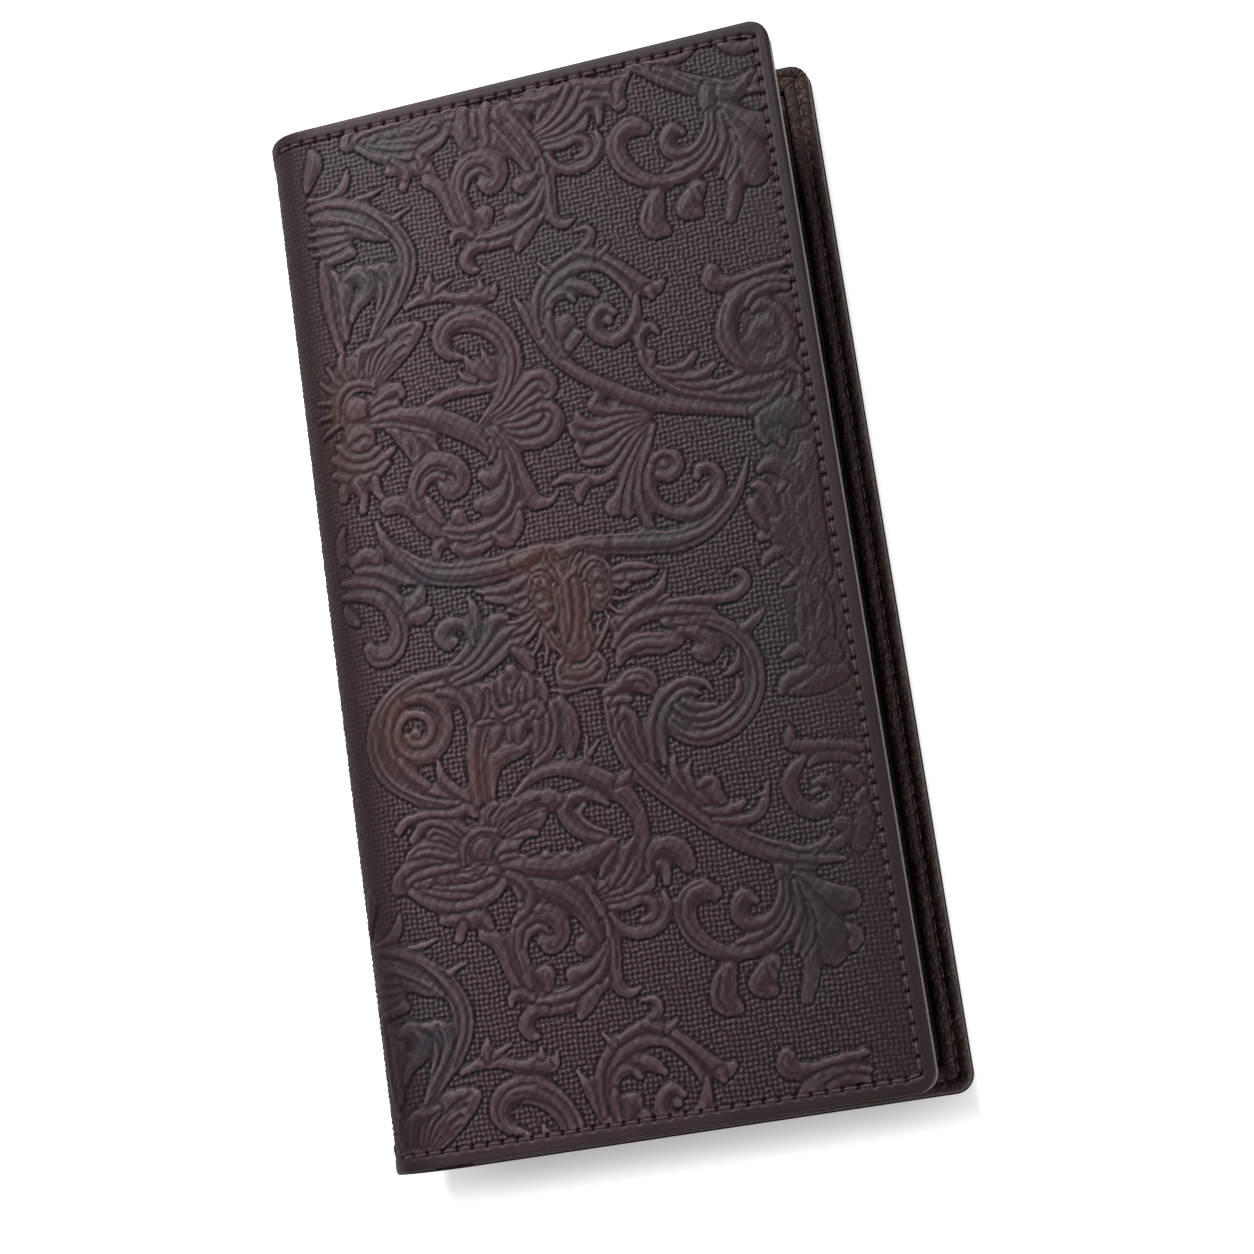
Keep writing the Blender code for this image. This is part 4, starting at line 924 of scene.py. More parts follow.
GREAT_SPIRAL = [
    [46.6,-19.6,.9, 47.2,-23,1.6, 47.7,-27,1.8, 49.2,-31.4,2, 51.8,-35.4,1.9, 54.6,-38.8,1.6,
     58.4,-42.6,1.5, 62.6,-46.4,1.5, 66.6,-49.6,1.4, 71,-52,1.3, 76,-53.7,1, 83,-54.8,.6],
    [46.9,-27.2,.4, 47.8,-24.8,.8, 49.3,-23.4,.9, 50.6,-24.8,.9, 50.9,-28.4,1, 51.8,-32,.6],
    [46.8,-22,.4, 48.4,-21.2,.7, 50.4,-21.3,.7],
    [46.2,-19.6,.6, 48.6,-18.9,1.1, 51.2,-17.9,1.8, 53.6,-18.7,2.3, 54.2,-20,1.3],
    [60,-4.6,.3, 57.6,-5.5,.6, 55.4,-6.2,.4],
    [49.6,-10,.5, 51.6,-7.2,1, 54.4,-5,1.1, 57.4,-4.1,1.1, 59,-2.5,.8, 59.9,-.8,.25],
    [57,-6.4,.4, 61.6,-6,.7, 66.4,-6.6,.9, 70.4,-7.1,1, 73,-6,1, 73.8,-4.3,.9, 72.8,-2.9,.7, 71.2,-3.3,.4],
    [48.8,-11.8,.5, 51,-9.3,1, 54.6,-7.7,1.1, 59.4,-7.4,1.1, 63.6,-8.2,1.1, 67.2,-9.6,.9],
    [49.4,-14.8,.7, 50.8,-12.9,1.3, 54,-12.2,2, 57.6,-12.8,1.9, 60.4,-13,1],
    [58.4,-9.2,.7, 63,-10.2,1.3, 67.6,-11.6,1.8, 70.9,-14.5,1.9, 72.7,-18.4,1.8, 72.8,-22.5,1.7,
     71,-26.4,1.7, 67.2,-29.3,1.8, 62.6,-30,1.9, 58.7,-28.4,1.8, 56.9,-25.4,1.2],
    [53,-32.6,.6, 53.2,-27.8,.9, 54.8,-23.7,1, 57.6,-21,1, 61,-20,.9, 64,-20.9,.7, 65,-22.6,.4],
    [55,-33.4,.6, 55,-28.8,.9, 56.2,-25.1,.9, 58.6,-22.7,.8, 61,-21.9,.7, 62.8,-22.6,.5],
    [57.8,-26,.6, 60.4,-28,.9, 64.4,-28.4,.8, 68.4,-26.6,.4],
    [58.4,-24.2,.7, 60.8,-26.2,1, 64.8,-26.8,.8, 68.6,-24.8,.4],
    [60,-23.6,.8, 62.2,-24.9,.9, 65.4,-25,.5],
    [61.4,-11.3,.8, 64.4,-12.3,1.5, 66.3,-14.4,1.8, 64.9,-16,1.8, 63.2,-15.3,1],
    [70.9,-16.2,.4, 70.4,-18.4,.7, 68.8,-20,.6, 67.4,-20.2,.3],
    [68.4,-17.8,.3, 67.7,-19,.5],
    [69.8,-21.6,.5, 69.7,-23.4,.8, 68.6,-24.6,.6],
    [72.2,-12.9,.9, 74,-12,1, 76,-10.3,.35],
    [56.8,-32.4,.3, 56.4,-34.8,.8, 57.6,-38,1, 60.6,-41.6,1],
    [59.3,-34,.3, 58.6,-36,.7, 59.4,-39,.8, 61.4,-41.4,.6],
    [60.4,-38.5,.5, 61.8,-37.6,.9, 63.1,-38,.9, 62.9,-40,1.3, 63.9,-41.8,1.1],
    [60.6,-42.6,.6, 63.4,-43.6,.9, 66.2,-43.1,.9, 67.6,-42.3,.6],
    [62.2,-44.6,.5, 66,-45.5,.8, 69.4,-45.1,.9, 71,-43.2,.9, 71.6,-41.4,.7, 72.3,-39.9,.3],
    [70.2,-41.8,.3, 71.6,-41.6,.6],
    [46,-35.8,.6, 47.6,-34.9,.9, 49,-33.6,.5],
    [49.4,-51.6,.6, 50.2,-48.8,1.3, 52.8,-47.5,1.8, 55.3,-48.7,2, 56.4,-51.2,1.5],
]
RIGHT_FILL = [
    [88,16,1.4, 86.6,11,2.6, 85.4,6,3.6, 85.4,0,3.5, 86,-5.4,3],
    [80.8,8,2.4, 81.2,2.6,2.4, 82.8,-2,1.8],
    [84.6,-8.4,2.4, 85,-13,3, 84.6,-18,2.8, 85,-22.4,2.8],
    [79,-24.6,1.5, 83,-24.4,2.2, 87,-23.4,2.2],
    [87.8,-46.4,1.2, 87.6,-50,1.6, 86,-53,1.4],
    [87.6,36,1.8, 84,30,1.6],
]
SHELL_FAN = [
    [64,28.4,.6, 60,29.6,1.2, 56.6,32,1.2, 54.8,35,.4],
    [61,28.4,.4, 57,29.4,.8, 54,29.9,.9, 51.6,31.4,1.2, 52.6,33,.9],
    [61,27.7,.4, 56,28,.8, 51.6,27.8,.8, 48.8,29,1.1, 48.4,30.8,.5],
    [61,27.1,.4, 56,26.7,.8, 51,25.8,.8, 47.7,26.9,.9, 46.8,28.8,.5],
    [61,26.6,.4, 56.5,25.4,.8, 52.5,23.6,.9, 48.8,22.9,1, 47.5,24.8,.7],
    [61.2,26.2,.4, 57,24.2,.8, 53.6,21.6,.8, 50.2,21.2,.7, 48,21.8,.4],
    [61.4,26,.4, 58,23.6,.8, 55,20.4,.9, 52.4,18.4,.8, 50,18.2,1, 47.2,18.9,1.1, 44.8,19.6,1, 42.4,19,.4],
    [48.4,18,.9, 46.8,16.4,1.1, 46.6,15,.6],
    [61.6,25.8,.4, 58.8,22.4,.8, 56,18.6,.9, 54.4,15.4,1, 52.6,12.6,1.7],
    [61.8,25.6,.4, 59.6,21.8,.8, 57,17.4,.9, 55.6,13.8,1.1, 55,11.2,1.1],
    [61,23.6,.4, 58.8,19,.9, 57.6,14.6,1.1, 57.6,11.3,1.1, 58.4,8.2,.9],
    [60.6,20,.6, 59.4,15.6,1.1, 60.2,11.8,1.2, 63,9.5,1.2, 67,8.7,1.2, 70.4,10.4,1.1, 72,13.4,1, 71,16.1,1,
     68.8,16.6,.9, 68,15.1,.8],
    [65.6,10.7,.5, 68.2,11.4,.9, 69.9,13.2,.6],
    [60.5,19.4,.6, 62.2,20.4,.8, 64.6,19.6,1.1, 65,17.4,1.1, 63.3,16.1,1.1, 61.4,16.6,.8],
    [62.7,18.3,.9],
]
MOTIFS = [RIGHT_FILL, CRESCENT, TWIG, HORN_OF_PLENTY, UPPER_FLOWER, FLOWER_LEAF, SHELL_BY_WREATH, WREATH,
          SHELL_FAN, MIDDLE_SCROLL, TOP_VOLUTE, TOP_BAND, TOP_SHELL, C_SCROLL, RIGHT_VOLUTE, RIGHT_EDGE,
          LEFT_HOOK, RING, CLUSTER, BRANCH, LOWER_FLOWER, GREAT_SPIRAL, HORNS, FUR, SKULL]
print("motifs, in the order in which they are laid:", len(MOTIFS))

# %% Cuts
# Veins and edges cut into the motifs: the same units, with half the width of the cut.
CUTS = [
    [11,15.6,.16, 14,11.6,.2, 18,8.6,.2, 24,7.2,.2, 31,7.2,.2, 36,8,.16],
    [12.6,12,.14, 17,7,.18, 23,5,.18, 30,4.8,.18, 35,5.4,.14],
    [75,12.6,.14, 71,8,.18, 65,5.6,.2, 58,6.2,.2, 51,7.4,.2, 47,8,.14],
    [73,8.2,.12, 68,4.6,.16, 62,3.4,.18, 56,4.2,.18, 49,5.6,.14],
    [10.2,37.8,.16, 10.1,39.6,.2, 10.8,41,.2, 12,42,.16],
    [22.6,-44.6,.16, 22.9,-42.9,.2, 24,-42,.16],
    [41.3,.4,.3, 41.2,-3,.35, 41.2,-7,.3, 41.1,-9.4,.16],
    [40,-11.4,.16, 41,-13,.2, 42.8,-13.5,.22, 44.4,-12.9,.2, 45.6,-11.4,.16],
    [39.2,-14.6,.3, 39.9,-14.4,.4],
    [46,-15.2,.28, 45.4,-14.8,.34],
    [25.2,47.8,.14, 25.2,50,.18, 26.8,52.2,.2, 29.6,53.2,.2, 32.6,53,.16],
    [27.4,47,.14, 27,48.7,.18, 28.2,50.4,.2, 31,50.6,.2, 34.2,49.2,.2, 36.4,46.6,.2, 37.2,43,.2,
     36.8,39.6,.18, 35,36.6,.16, 32.4,34.4,.12],
    [33.8,52,.14, 36.8,49.4,.2, 38.6,45.6,.2, 38.6,41.4,.18, 37.4,38.2,.14],
    [7,78.9,.12, 12,76.7,.16, 16.2,73.6,.18, 19.2,69.6,.18, 20.3,66,.18, 19.4,62.4,.18, 16.6,58.2,.16,
     13.8,54.6,.12],
    [17.6,75.4,.12, 20.8,71,.16, 22,66.4,.16, 21,62,.16, 18.4,58,.12],
    [8.4,77.4,.12, 12.4,75.7,.18, 16,73,.14],
    [9.4,75.4,.12, 12.8,73.7,.18, 15.6,71.8,.14],
    [16.4,65.6,.14, 16.9,62,.18, 15.4,58.6,.14],
    [6.9,64.6,.12, 7,60,.18, 7.2,56,.14],
    [50.4,-12.6,.12, 54,-11.4,.18, 58.4,-12,.14],
    [51.4,-13.6,.12, 54.6,-13.2,.18, 58,-13.8,.14],
    [60,-9.3,.12, 65,-10.3,.18, 69.4,-12.5,.18, 72.2,-16.2,.18, 73.3,-20.6,.18, 72.5,-25,.18,
     69.6,-28.6,.18, 65.6,-30.5,.18, 61.2,-30.7,.16, 58,-29,.12],
    [65,-11.6,.12, 69,-13.6,.18, 71.4,-17,.18, 72,-21,.18, 70.9,-25,.18, 67.6,-27.9,.18, 63.2,-28.9,.16,
     59.6,-27.6,.12],
    [48.4,-21.8,.12, 48,-26,.18, 49.9,-31,.18, 53,-35.6,.18, 57,-39.9,.14],
    [46.6,-22,.12, 46.9,-27,.18, 48.6,-32,.18, 51.4,-36.4,.18, 55.6,-40.9,.18, 61,-46,.14],
    [50.8,-17.4,.12, 53.2,-17.4,.18, 54.8,-18.9,.14],
    [51.8,-18.6,.12, 53.4,-18.9,.18, 54,-20.2,.14],
    [45,88.4,.12, 47,84.6,.18, 49,80,.18, 49.7,75,.18, 49.4,70,.14],
    [45.4,84,.12, 47,80,.18, 48,76.4,.14],
    [43.2,87.1,.3],
    [45.8,81.4,.12, 46.8,78,.18, 47.4,75,.12],
    [35.4,67.2,.12, 39.4,67.4,.18, 43.2,68.4,.18, 46,70.8,.14],
    [32.6,71.6,.14, 31.8,75.6,.18, 32.4,79,.18, 34.8,81.4,.18, 38,81.4,.14],
    [38.6,78.8,.14, 39,77.2,.16],
    [17.3,22.6,.14, 18.4,25.2,.18, 20.8,26.7,.18, 23.2,26,.14],
    [23.4,24.9,.14, 24.5,24,.16, 24.8,22.7,.12],
    [3.2,-20,.12, 3.6,-24.6,.18, 6,-28.8,.18, 10,-31.8,.18, 14.4,-33.4,.14],
    [12,-10.6,.14, 8,-12.8,.18, 5,-16.2,.18, 4,-20,.14],
    [5,-18.6,.12, 4.7,-22.6,.18, 6.4,-27,.18, 10,-30.4,.18, 14.4,-32.4,.14],
    [66.6,82,.14, 63.4,81,.18, 61.7,77.8,.18, 62.2,74,.18, 64.6,71,.14],
    [67,65.6,.14, 66,62.4,.18, 67,60,.14],
    [75,66,.12, 75.4,64,.16],
    [76.2,66.6,.12, 76.8,64.6,.16],
    [76,88,.12, 80,85.6,.18, 84,83.9,.16, 87,84.4,.12],
    [9,3.8,.12, 11,.2,.18, 11,-3.8,.18, 8.4,-6.2,.16, 5.6,-6,.12],
    [77.6,-31,.2, 79.2,-33.2,.25, 84,-34.2,.25, 88.4,-35,.2],
    [77.6,44,.16, 76.6,40.6,.2, 76.7,37,.2, 78.6,33.6,.16],
    [80.4,44.2,.14, 78.9,41,.18, 79,37.6,.18, 80.4,34.6,.18, 83.2,33.2,.14],
    [84.4,31.2,.14, 87.6,33,.18, 89,37,.18, 88.4,40.4,.14],
    [85.2,33.4,.14, 86.7,35.4,.18, 86.9,38,.16, 86,40.4,.14],
    [82.6,12.8,.14, 81.8,10,.2, 82,6,.18, 82.8,2,.14],
    [86.8,9,.14, 86.2,5,.18, 86.4,0,.18, 87.2,-4,.14],
    [84.4,8,.12, 84,4,.16, 84.2,0,.16, 85,-3.6,.12],
    [84.6,-9,.14, 84.9,-13,.18, 84.2,-17,.14],
    [86.9,-9,.12, 87,-13,.16, 86.4,-17,.12],
]
print("ornament:", sum(len(motif) for motif in MOTIFS), "strokes,", len(CUTS), "cuts")

# %% [markdown]
# ## From strokes to relief
# The relief is a height drawn over the whole sheet on a fine raster, because operators can't model hundreds
# of overlapping strokes: each stroke overwrites what is under it with its own rounded section, and a
# bevelled cut runs round it, as a tooler's knife leaves it. Broad strokes get up to three inner lines. Gaps
# between close strokes stay half raised, so that leaves read as one mass with cut veins. Heights are in
# millimetres above the ground, which lies half a millimetre below the face of the CAD leather.

# %% Curves and rasters
CELL = 0.25
MARGIN_CELLS = 4


def spline(points, spacing):
    """Smooth curve through hand placed points, as closely spaced samples of (place, along, half width)."""
    knots = np.array(points, float).reshape(-1, 3)
    if len(knots) == 1:
        return knots
    padded = np.vstack([2 * knots[0] - knots[1], knots, 2 * knots[-1] - knots[-2]])
    pieces = []
    for before, start, end, after in zip(padded, padded[1:], padded[2:], padded[3:]):
        count = max(2, int(np.hypot(*(end - start)[:2]) / spacing))
        t = np.linspace(0, 1, count, endpoint=False)[:, None]
        pieces.append(0.5 * (2 * start + (end - before) * t
                             + (2 * before - 5 * start + 4 * end - after) * t ** 2
                             + (3 * start - before - 3 * end + after) * t ** 3))
    return np.vstack(pieces + [knots[-1:]])


def blurred(values, radius):
    """Gaussian blur of a raster, radius in cells."""
    reach = int(3 * radius) + 1
    kernel = np.exp(-0.5 * (np.arange(-reach, reach + 1) / radius) ** 2)
    kernel /= kernel.sum()
    for axis in (0, 1):
        padded = np.pad(values, [(reach, reach) if a == axis else (0, 0) for a in (0, 1)], mode="edge")
        size = values.shape[axis]
        values = sum(weight * np.take(padded, range(k, k + size), axis=axis)
                     for k, weight in enumerate(kernel))
    return values


print("longest stroke:", max(len(spline(stroke, CELL)) for motif in MOTIFS for stroke in motif), "samples")

# %% How a stroke is tooled
STROKE_RISE, RISE_BY_WIDTH, WIDEST_RISE = 0.38, 0.11, 2.4
INNER_LINES = ((0.5, 0.8), (1.1, 1.35), (1.7, 2.0))
LINE_DEPTH, LINE_WIDTH = 0.17, 0.14
KNIFE_REACH, KNIFE_REACH_ON_LEAF = 0.45, 0.36
KNIFE_DEPTH, KNIFE_DEPTH_ON_LEAF = 0.4, 0.24
KNIFE_FLOOR = -0.4


class Relief:
    """Rasters over the sheet; rows go along Y and columns along the section."""

    def __init__(self, low, high):
        self.low = np.array([low, -HALF_LENGTH]) - (MARGIN_CELLS - 0.5) * CELL
        size = np.ceil((np.array([high, HALF_LENGTH]) - self.low) / CELL).astype(int) + MARGIN_CELLS
        self.places = self.low[0] + np.arange(size[0]) * CELL
        self.along = self.low[1] + np.arange(size[1]) * CELL
        self.height = np.zeros((size[1], size[0]))
        self.raised = np.zeros_like(self.height)
        self.tone = np.full_like(self.height, 0.5)

    def window(self, low, high):
        """The cells of a box on the sheet, or None where it lies off the raster."""
        first = np.maximum(np.floor((low - self.low) / CELL).astype(int), 0)
        last = np.minimum(np.ceil((high - self.low) / CELL).astype(int) + 1, self.height.shape[::-1])
        return (slice(first[1], last[1]), slice(first[0], last[0])) if (last > first).all() else None

    def near(self, samples, reach):
        """View of the cells round a stroke, how far each is outside its edge, and the half width there."""
        middles, sizes = samples[:, :2], samples[:, 2]
        spread = sizes.max() + reach
        view = self.window(middles.min(0) - spread, middles.max(0) + spread)
        if view is None:
            return None
        x, y = np.meshgrid(self.places[view[1]], self.along[view[0]])
        edge, size = np.full(x.shape, 9.0), np.ones(x.shape)
        for place, along, half in samples:
            far = half + reach
            columns = slice(*np.searchsorted(x[0], (place - far, place + far)))
            rows = slice(*np.searchsorted(y[:, 0], (along - far, along + far)))
            away = np.hypot(x[rows, columns] - place, y[rows, columns] - along) - half
            nearer = away < edge[rows, columns]
            edge[rows, columns][nearer] = away[nearer]
            size[rows, columns][nearer] = half
        return view, edge, size

    def raise_stroke(self, samples, strength):
        """Lays one rounded stroke and the knife's cut round it."""
        found = self.near(samples, KNIFE_REACH + 0.05)
        if found is None:
            return
        view, edge, size = found
        height, raised = self.height[view], self.raised[view]
        inside = edge < 0
        across = np.clip(1 + edge / size, 0, 1)
        body = (STROKE_RISE + RISE_BY_WIDTH * np.minimum(size, WIDEST_RISE)) * (1 - 0.5 * across ** 3.2)
        for line, least in INNER_LINES:
            broad = ramp(size, least, least + 0.2) * (size < 2.5)
            body -= LINE_DEPTH * broad * np.exp(-((edge + line) / LINE_WIDTH) ** 2)
        height[inside] = strength * body[inside]
        raised[inside] = strength
        reach = np.where(raised > 0, KNIFE_REACH_ON_LEAF, KNIFE_REACH)
        ring = ~inside & (edge < reach)
        depth = (1 - edge[ring] / reach[ring]) * np.where(raised[ring] > 0, KNIFE_DEPTH_ON_LEAF, KNIFE_DEPTH)
        height[ring] = np.maximum(height[ring] - depth, KNIFE_FLOOR)

    def cut(self, samples, depth):
        found = self.near(samples, 0.3)
        if found:
            view, edge, size = found
            self.height[view] -= depth * np.clip(1 - (edge + size) / (size + 0.22), 0, 1)

    def pit(self, place, along, radius, depth):
        """A round hole, with soft walls."""
        middle = np.array([place, along])
        view = self.window(middle - 2 * radius, middle + 2 * radius)
        if view:
            x, y = np.meshgrid(self.places[view[1]], self.along[view[0]])
            inside = radius - np.hypot(x - place, y - along)
            self.height[view] -= depth * ramp(inside, -0.35 * radius, 0.5 * radius)

    def read(self, raster, places, along):
        """Values of a raster at places on the sheet, between cells where needed."""
        column = np.clip((places - self.low[0]) / CELL, 0, raster.shape[1] - 1.001)
        row = np.clip((along - self.low[1]) / CELL, 0, raster.shape[0] - 1.001)
        left, below = column.astype(int), row.astype(int)
        u, v = column - left, row - below
        return ((raster[below, left] * (1 - u) + raster[below, left + 1] * u) * (1 - v)
                + (raster[below + 1, left] * (1 - u) + raster[below + 1, left + 1] * u) * v)


relief = Relief(BACK_END, HALF_WIDTH)
place_map, along_map = np.meshgrid(relief.places, relief.along)
print("raster:", relief.height.shape, "cells of", CELL, "mm")

# %% [markdown]
# ## Laying the pattern
# The pattern repeats along the sheet, as it does on leather that comes from one roll. The same strokes are
# laid again below and above, and round the spine onto the back. The head's row is laid last. The right edge
# of the front has been rubbed in use, so its motifs are flatter.

# %% Laying the pattern
ROW_SHIFT = np.array([-7.7, -136.7, 0.0])
COLUMN_SHIFT = np.array([-99.0, 24.0, 0.0])
RUBBED_STRENGTH = 0.75
CUT_DEPTH = 0.24
WITHOUT_BAND = [motif for motif in MOTIFS if motif is not TOP_BAND]
for column in (2, 1, 0):
    for row in (1, -1, 0):
        shift = column * COLUMN_SHIFT - row * ROW_SHIFT
        for motif in MOTIFS if row == 0 else WITHOUT_BAND:
            strength = RUBBED_STRENGTH if motif in (RIGHT_EDGE, RIGHT_FILL) else 1.0
            for stroke in motif:
                relief.raise_stroke(spline(stroke, CELL) + shift, strength)
        for stroke in CUTS:
            relief.cut(spline(stroke, 0.2) + shift, CUT_DEPTH)
print("pattern: height", relief.height.min().round(2), "to", relief.height.max().round(2), "mm")

# %% [markdown]
# ## Gaps, wear and the ground
# Narrow gaps between strokes are filled to half height. A patch at the right edge is worn down to low lumps
# with a fine crackle. Between the motifs the ground is stamped with a basket weave: knots at an even pitch
# that sway a little, fainter where the leather is rubbed at the right and beside the fold.

# %% Gaps, wear and the ground
WEAVE = 0.92
LUMPS = ((0.9, 0.5, 0.3), (-0.6, 1.1, 1.9), (1.9, -1.3, 4.0), (2.7, 2.1, 0.8), (-3.4, 2.9, 2.2))
CRACKLE = ((4.1, 2.3), (-2.9, 5.2), (6.3, -3.7))
GAP_RISE, WORN_RISE, LUMP_RISE, CRACKLE_RISE, KNOT_RISE, KNOT_LEVEL = 0.62, 0.12, 0.07, 0.06, 0.48, 0.22


def sway(a, b):
    """How far the stamped rows wander, in mm."""
    return (0.10 * np.sin(0.71 * b + 1.3) + 0.08 * np.sin(2.3 * b + 0.9 * a)
            + 0.06 * np.sin(5.1 * a - 1.7 * b))


between = ramp(blurred(np.minimum(relief.raised, 1), 3.4), 0.44, 0.58) * (relief.raised == 0)
relief.height = np.maximum(relief.height, GAP_RISE * between + KNIFE_FLOOR)
relief.height = blurred(relief.height, 0.55)
relief.raised = np.maximum(blurred(relief.raised, 0.6), between)

worn = ramp(place_map, 78.5, 82.5) * ramp(48 - along_map, 0, 8) * ramp(along_map + 58, 0, 8)
relief.height = relief.height * (1 - 0.45 * worn) + WORN_RISE * worn
relief.raised = np.maximum(relief.raised, 0.85 * worn * ramp(along_map + 31, 0, 10))
lumps = sum(np.sin(place_map * a + along_map * b + c) for a, b, c in LUMPS) / len(LUMPS)
relief.height += LUMP_RISE * lumps * relief.raised
crackle = sum(np.sin(place_map * a + along_map * b + 1.7 * np.sin(along_map * a - place_map * b))
              for a, b in CRACKLE) / len(CRACKLE)
relief.height += CRACKLE_RISE * crackle * worn

knots = np.abs(np.sin(math.pi * (place_map + sway(place_map, along_map)) / WEAVE)
               * np.sin(math.pi * (along_map + sway(along_map, place_map)) / WEAVE))
rubbed = 1 - 0.45 * ramp(place_map, 78, 88) - 0.5 * np.exp(-((place_map - 0.5) / 3.2) ** 2)
relief.height += (1 - ramp(relief.raised, 0.05, 0.4)) * (KNOT_RISE * knots ** 0.65 - KNOT_LEVEL) * rubbed
print("relief: height", relief.height.min().round(2), "to", relief.height.max().round(2), "mm")

# %% [markdown]
# ## The margin and the seams
# Outside the seam the margin was pressed flat. The stitches lie in a shallow crease, and each one starts and
# ends in a hole. The seam runs along three sides of each half, close to the edge and round the fore corners.

# %% Margin and seams
STITCH_PITCH = 2.7
SEAM_INSET = 2.5
SEAM_START = -1.5
MARGIN_LEVEL, STRIATION = 0.34, 0.02
HOLE_RADIUS, HOLE_DEPTH = 0.42, 0.6
CREASE_HALF_WIDTH, CREASE_DEPTH = 0.45, 0.16
RIM_RADIUS = 0.45
FORE_CORNERS = ((HALF_WIDTH - CORNER_RADIUS, 1), (BACK_END + CORNER_RADIUS, -1))


def seam_path(inset, start):
    """Points (width from the fold, along) of a seam from the spine end at -Y round the fore edge to +Y."""
    side, end = HALF_WIDTH - inset, HALF_LENGTH - inset
    radius = max(CORNER_RADIUS - inset, 0.4)
    arc = np.radians(np.linspace(0, 90, 9))
    lower = [(side - radius + radius * math.sin(a), -end + radius - radius * math.cos(a)) for a in arc]
    upper = [(w, -y) for w, y in reversed(lower)]
    return np.array([(start, -end), *lower, *upper, (start, end)])


def even_points(path, pitch):
    """Points at an even pitch along a path; the pitch is fitted to the length."""
    steps = np.hypot(*np.diff(path, axis=0).T)
    reach = np.concatenate([[0], np.cumsum(steps)])
    count = int(round(reach[-1] / pitch))
    at = np.linspace(0, reach[-1], count + 1)
    return np.stack([np.interp(at, reach, path[:, axis]) for axis in (0, 1)], 1)


def to_sheet(points, half):
    """Width from the fold to place on the sheet, on the front or the back half."""
    return points * (1, 1) if half == "front" else np.stack([FOLD_PLACES[0] - points[:, 0], points[:, 1]], 1)


from_edge = np.minimum(np.minimum(HALF_WIDTH - place_map, place_map - BACK_END),
                       HALF_LENGTH - np.abs(along_map))
for centre, way in FORE_CORNERS:
    across = (place_map - centre) * way
    up = np.abs(along_map) - (HALF_LENGTH - CORNER_RADIUS)
    corner = (across > 0) & (up > 0)
    from_edge[corner] = (CORNER_RADIUS - np.hypot(across, up))[corner]
margin = 1 - ramp(from_edge, SEAM_INSET - 0.2, SEAM_INSET + 0.5)
relief.height = relief.height * (1 - margin) + (MARGIN_LEVEL + STRIATION * np.sin(from_edge * 9.0)) * margin
seam = seam_path(SEAM_INSET, SEAM_START)
seam_holes = even_points(seam, STITCH_PITCH)
for half in ("front", "back"):
    crease = np.hstack([to_sheet(seam, half), np.full((len(seam), 1), CREASE_HALF_WIDTH)])
    crease = [np.linspace(a, b, max(2, int(np.hypot(*(b - a)[:2]) / 0.3)), endpoint=False)
              for a, b in zip(crease, crease[1:])]
    relief.cut(np.vstack(crease), CREASE_DEPTH)
    for place, along in to_sheet(seam_holes, half):
        relief.pit(place, along, HOLE_RADIUS, HOLE_DEPTH)
near_rim = np.clip(RIM_RADIUS - from_edge, 0, RIM_RADIUS)
relief.height -= RIM_RADIUS - np.sqrt(np.maximum(RIM_RADIUS ** 2 - near_rim ** 2, 0.0))
print("seams:", len(seam_holes), "holes on each half")

# %% [markdown]
# ## The drift of colour, the wear and painted light
# Colour drifts over the front in soft patches: the head, the big scroll and the spine are redder, the leaves
# at the top left, the horns and the right side are bluer. Wear is how far a place stands above what is
# round it, near and wide, because a cloth that wipes dye off touches only that. The same measure paints a
# highlight on the crests and shade in the cuts.

# %% Colour, wear and painted light
# Each patch is (place, along, half width, half length, tone), tone below 0 for redder and above 0 for bluer.
PATCHES = [
    (42, -4, 9, 15, -.9), (36, 8, 6, 6, -.5), (9, -19, 7, 8, -.9), (22, -29, 4, 6, -.7), (2, 40, 4, 24, -.7),
    (5, 38, 6, 10, -.5), (14, 67, 9, 14, .8), (16, 88, 13, 4, .8), (50, 57, 9, 14, .7), (80, 83, 8, 8, .7),
    (17, 6, 9, 5, .8), (60, 6, 10, 4, .7), (24, -5, 9, 7, .8), (82, 21, 7, 7, .8), (58, -26, 5, 6, .7),
    (76, -15, 7, 13, .6), (77, -61, 8, 17, .7), (6, -73, 9, 16, .8), (0, -20, 5, 60, -.3),
]
for place, along, wide, tall, amount in PATCHES:
    near = np.exp(-((place_map - place) / wide) ** 2 - ((along_map - along) / tall) ** 2)
    relief.tone += 0.5 * amount * near
relief.tone = np.clip(relief.tone, 0, 1)
# This measure lightens the crests, as wear and as a painted highlight, and darkens the cuts, as dye and as a
# painted shade.
wear_and_painted_light = np.clip(0.5 + 0.3 * (relief.height - blurred(relief.height, 3.0))
               + 1.6 * (relief.height - blurred(relief.height, 1.2)), 0, 1)
print("colour:", len(PATCHES), "patches; wear", wear_and_painted_light.min().round(2), "to", wear_and_painted_light.max().round(2))

# %% [markdown]
# ## The leather sheet
# The sheet is cut at the middle of each CAD strip into a back, four curved pieces over the spine and a
# front.
# The spine pieces follow the section and are attached to no body. The front is laid in three pieces to keep
# each one light. A flat piece is a primitive grid that takes its heights from the relief; its rim is then
# extruded to the inner face and filled. A spine piece is a grid bent round into a tube that follows the
# section, with both ends filled. All pieces share their shading normals where they meet.

# %% The face of the leather
GROUND = -0.5
SIDE_OF_LEATHER = (0.5, 1, 0.5, 1)


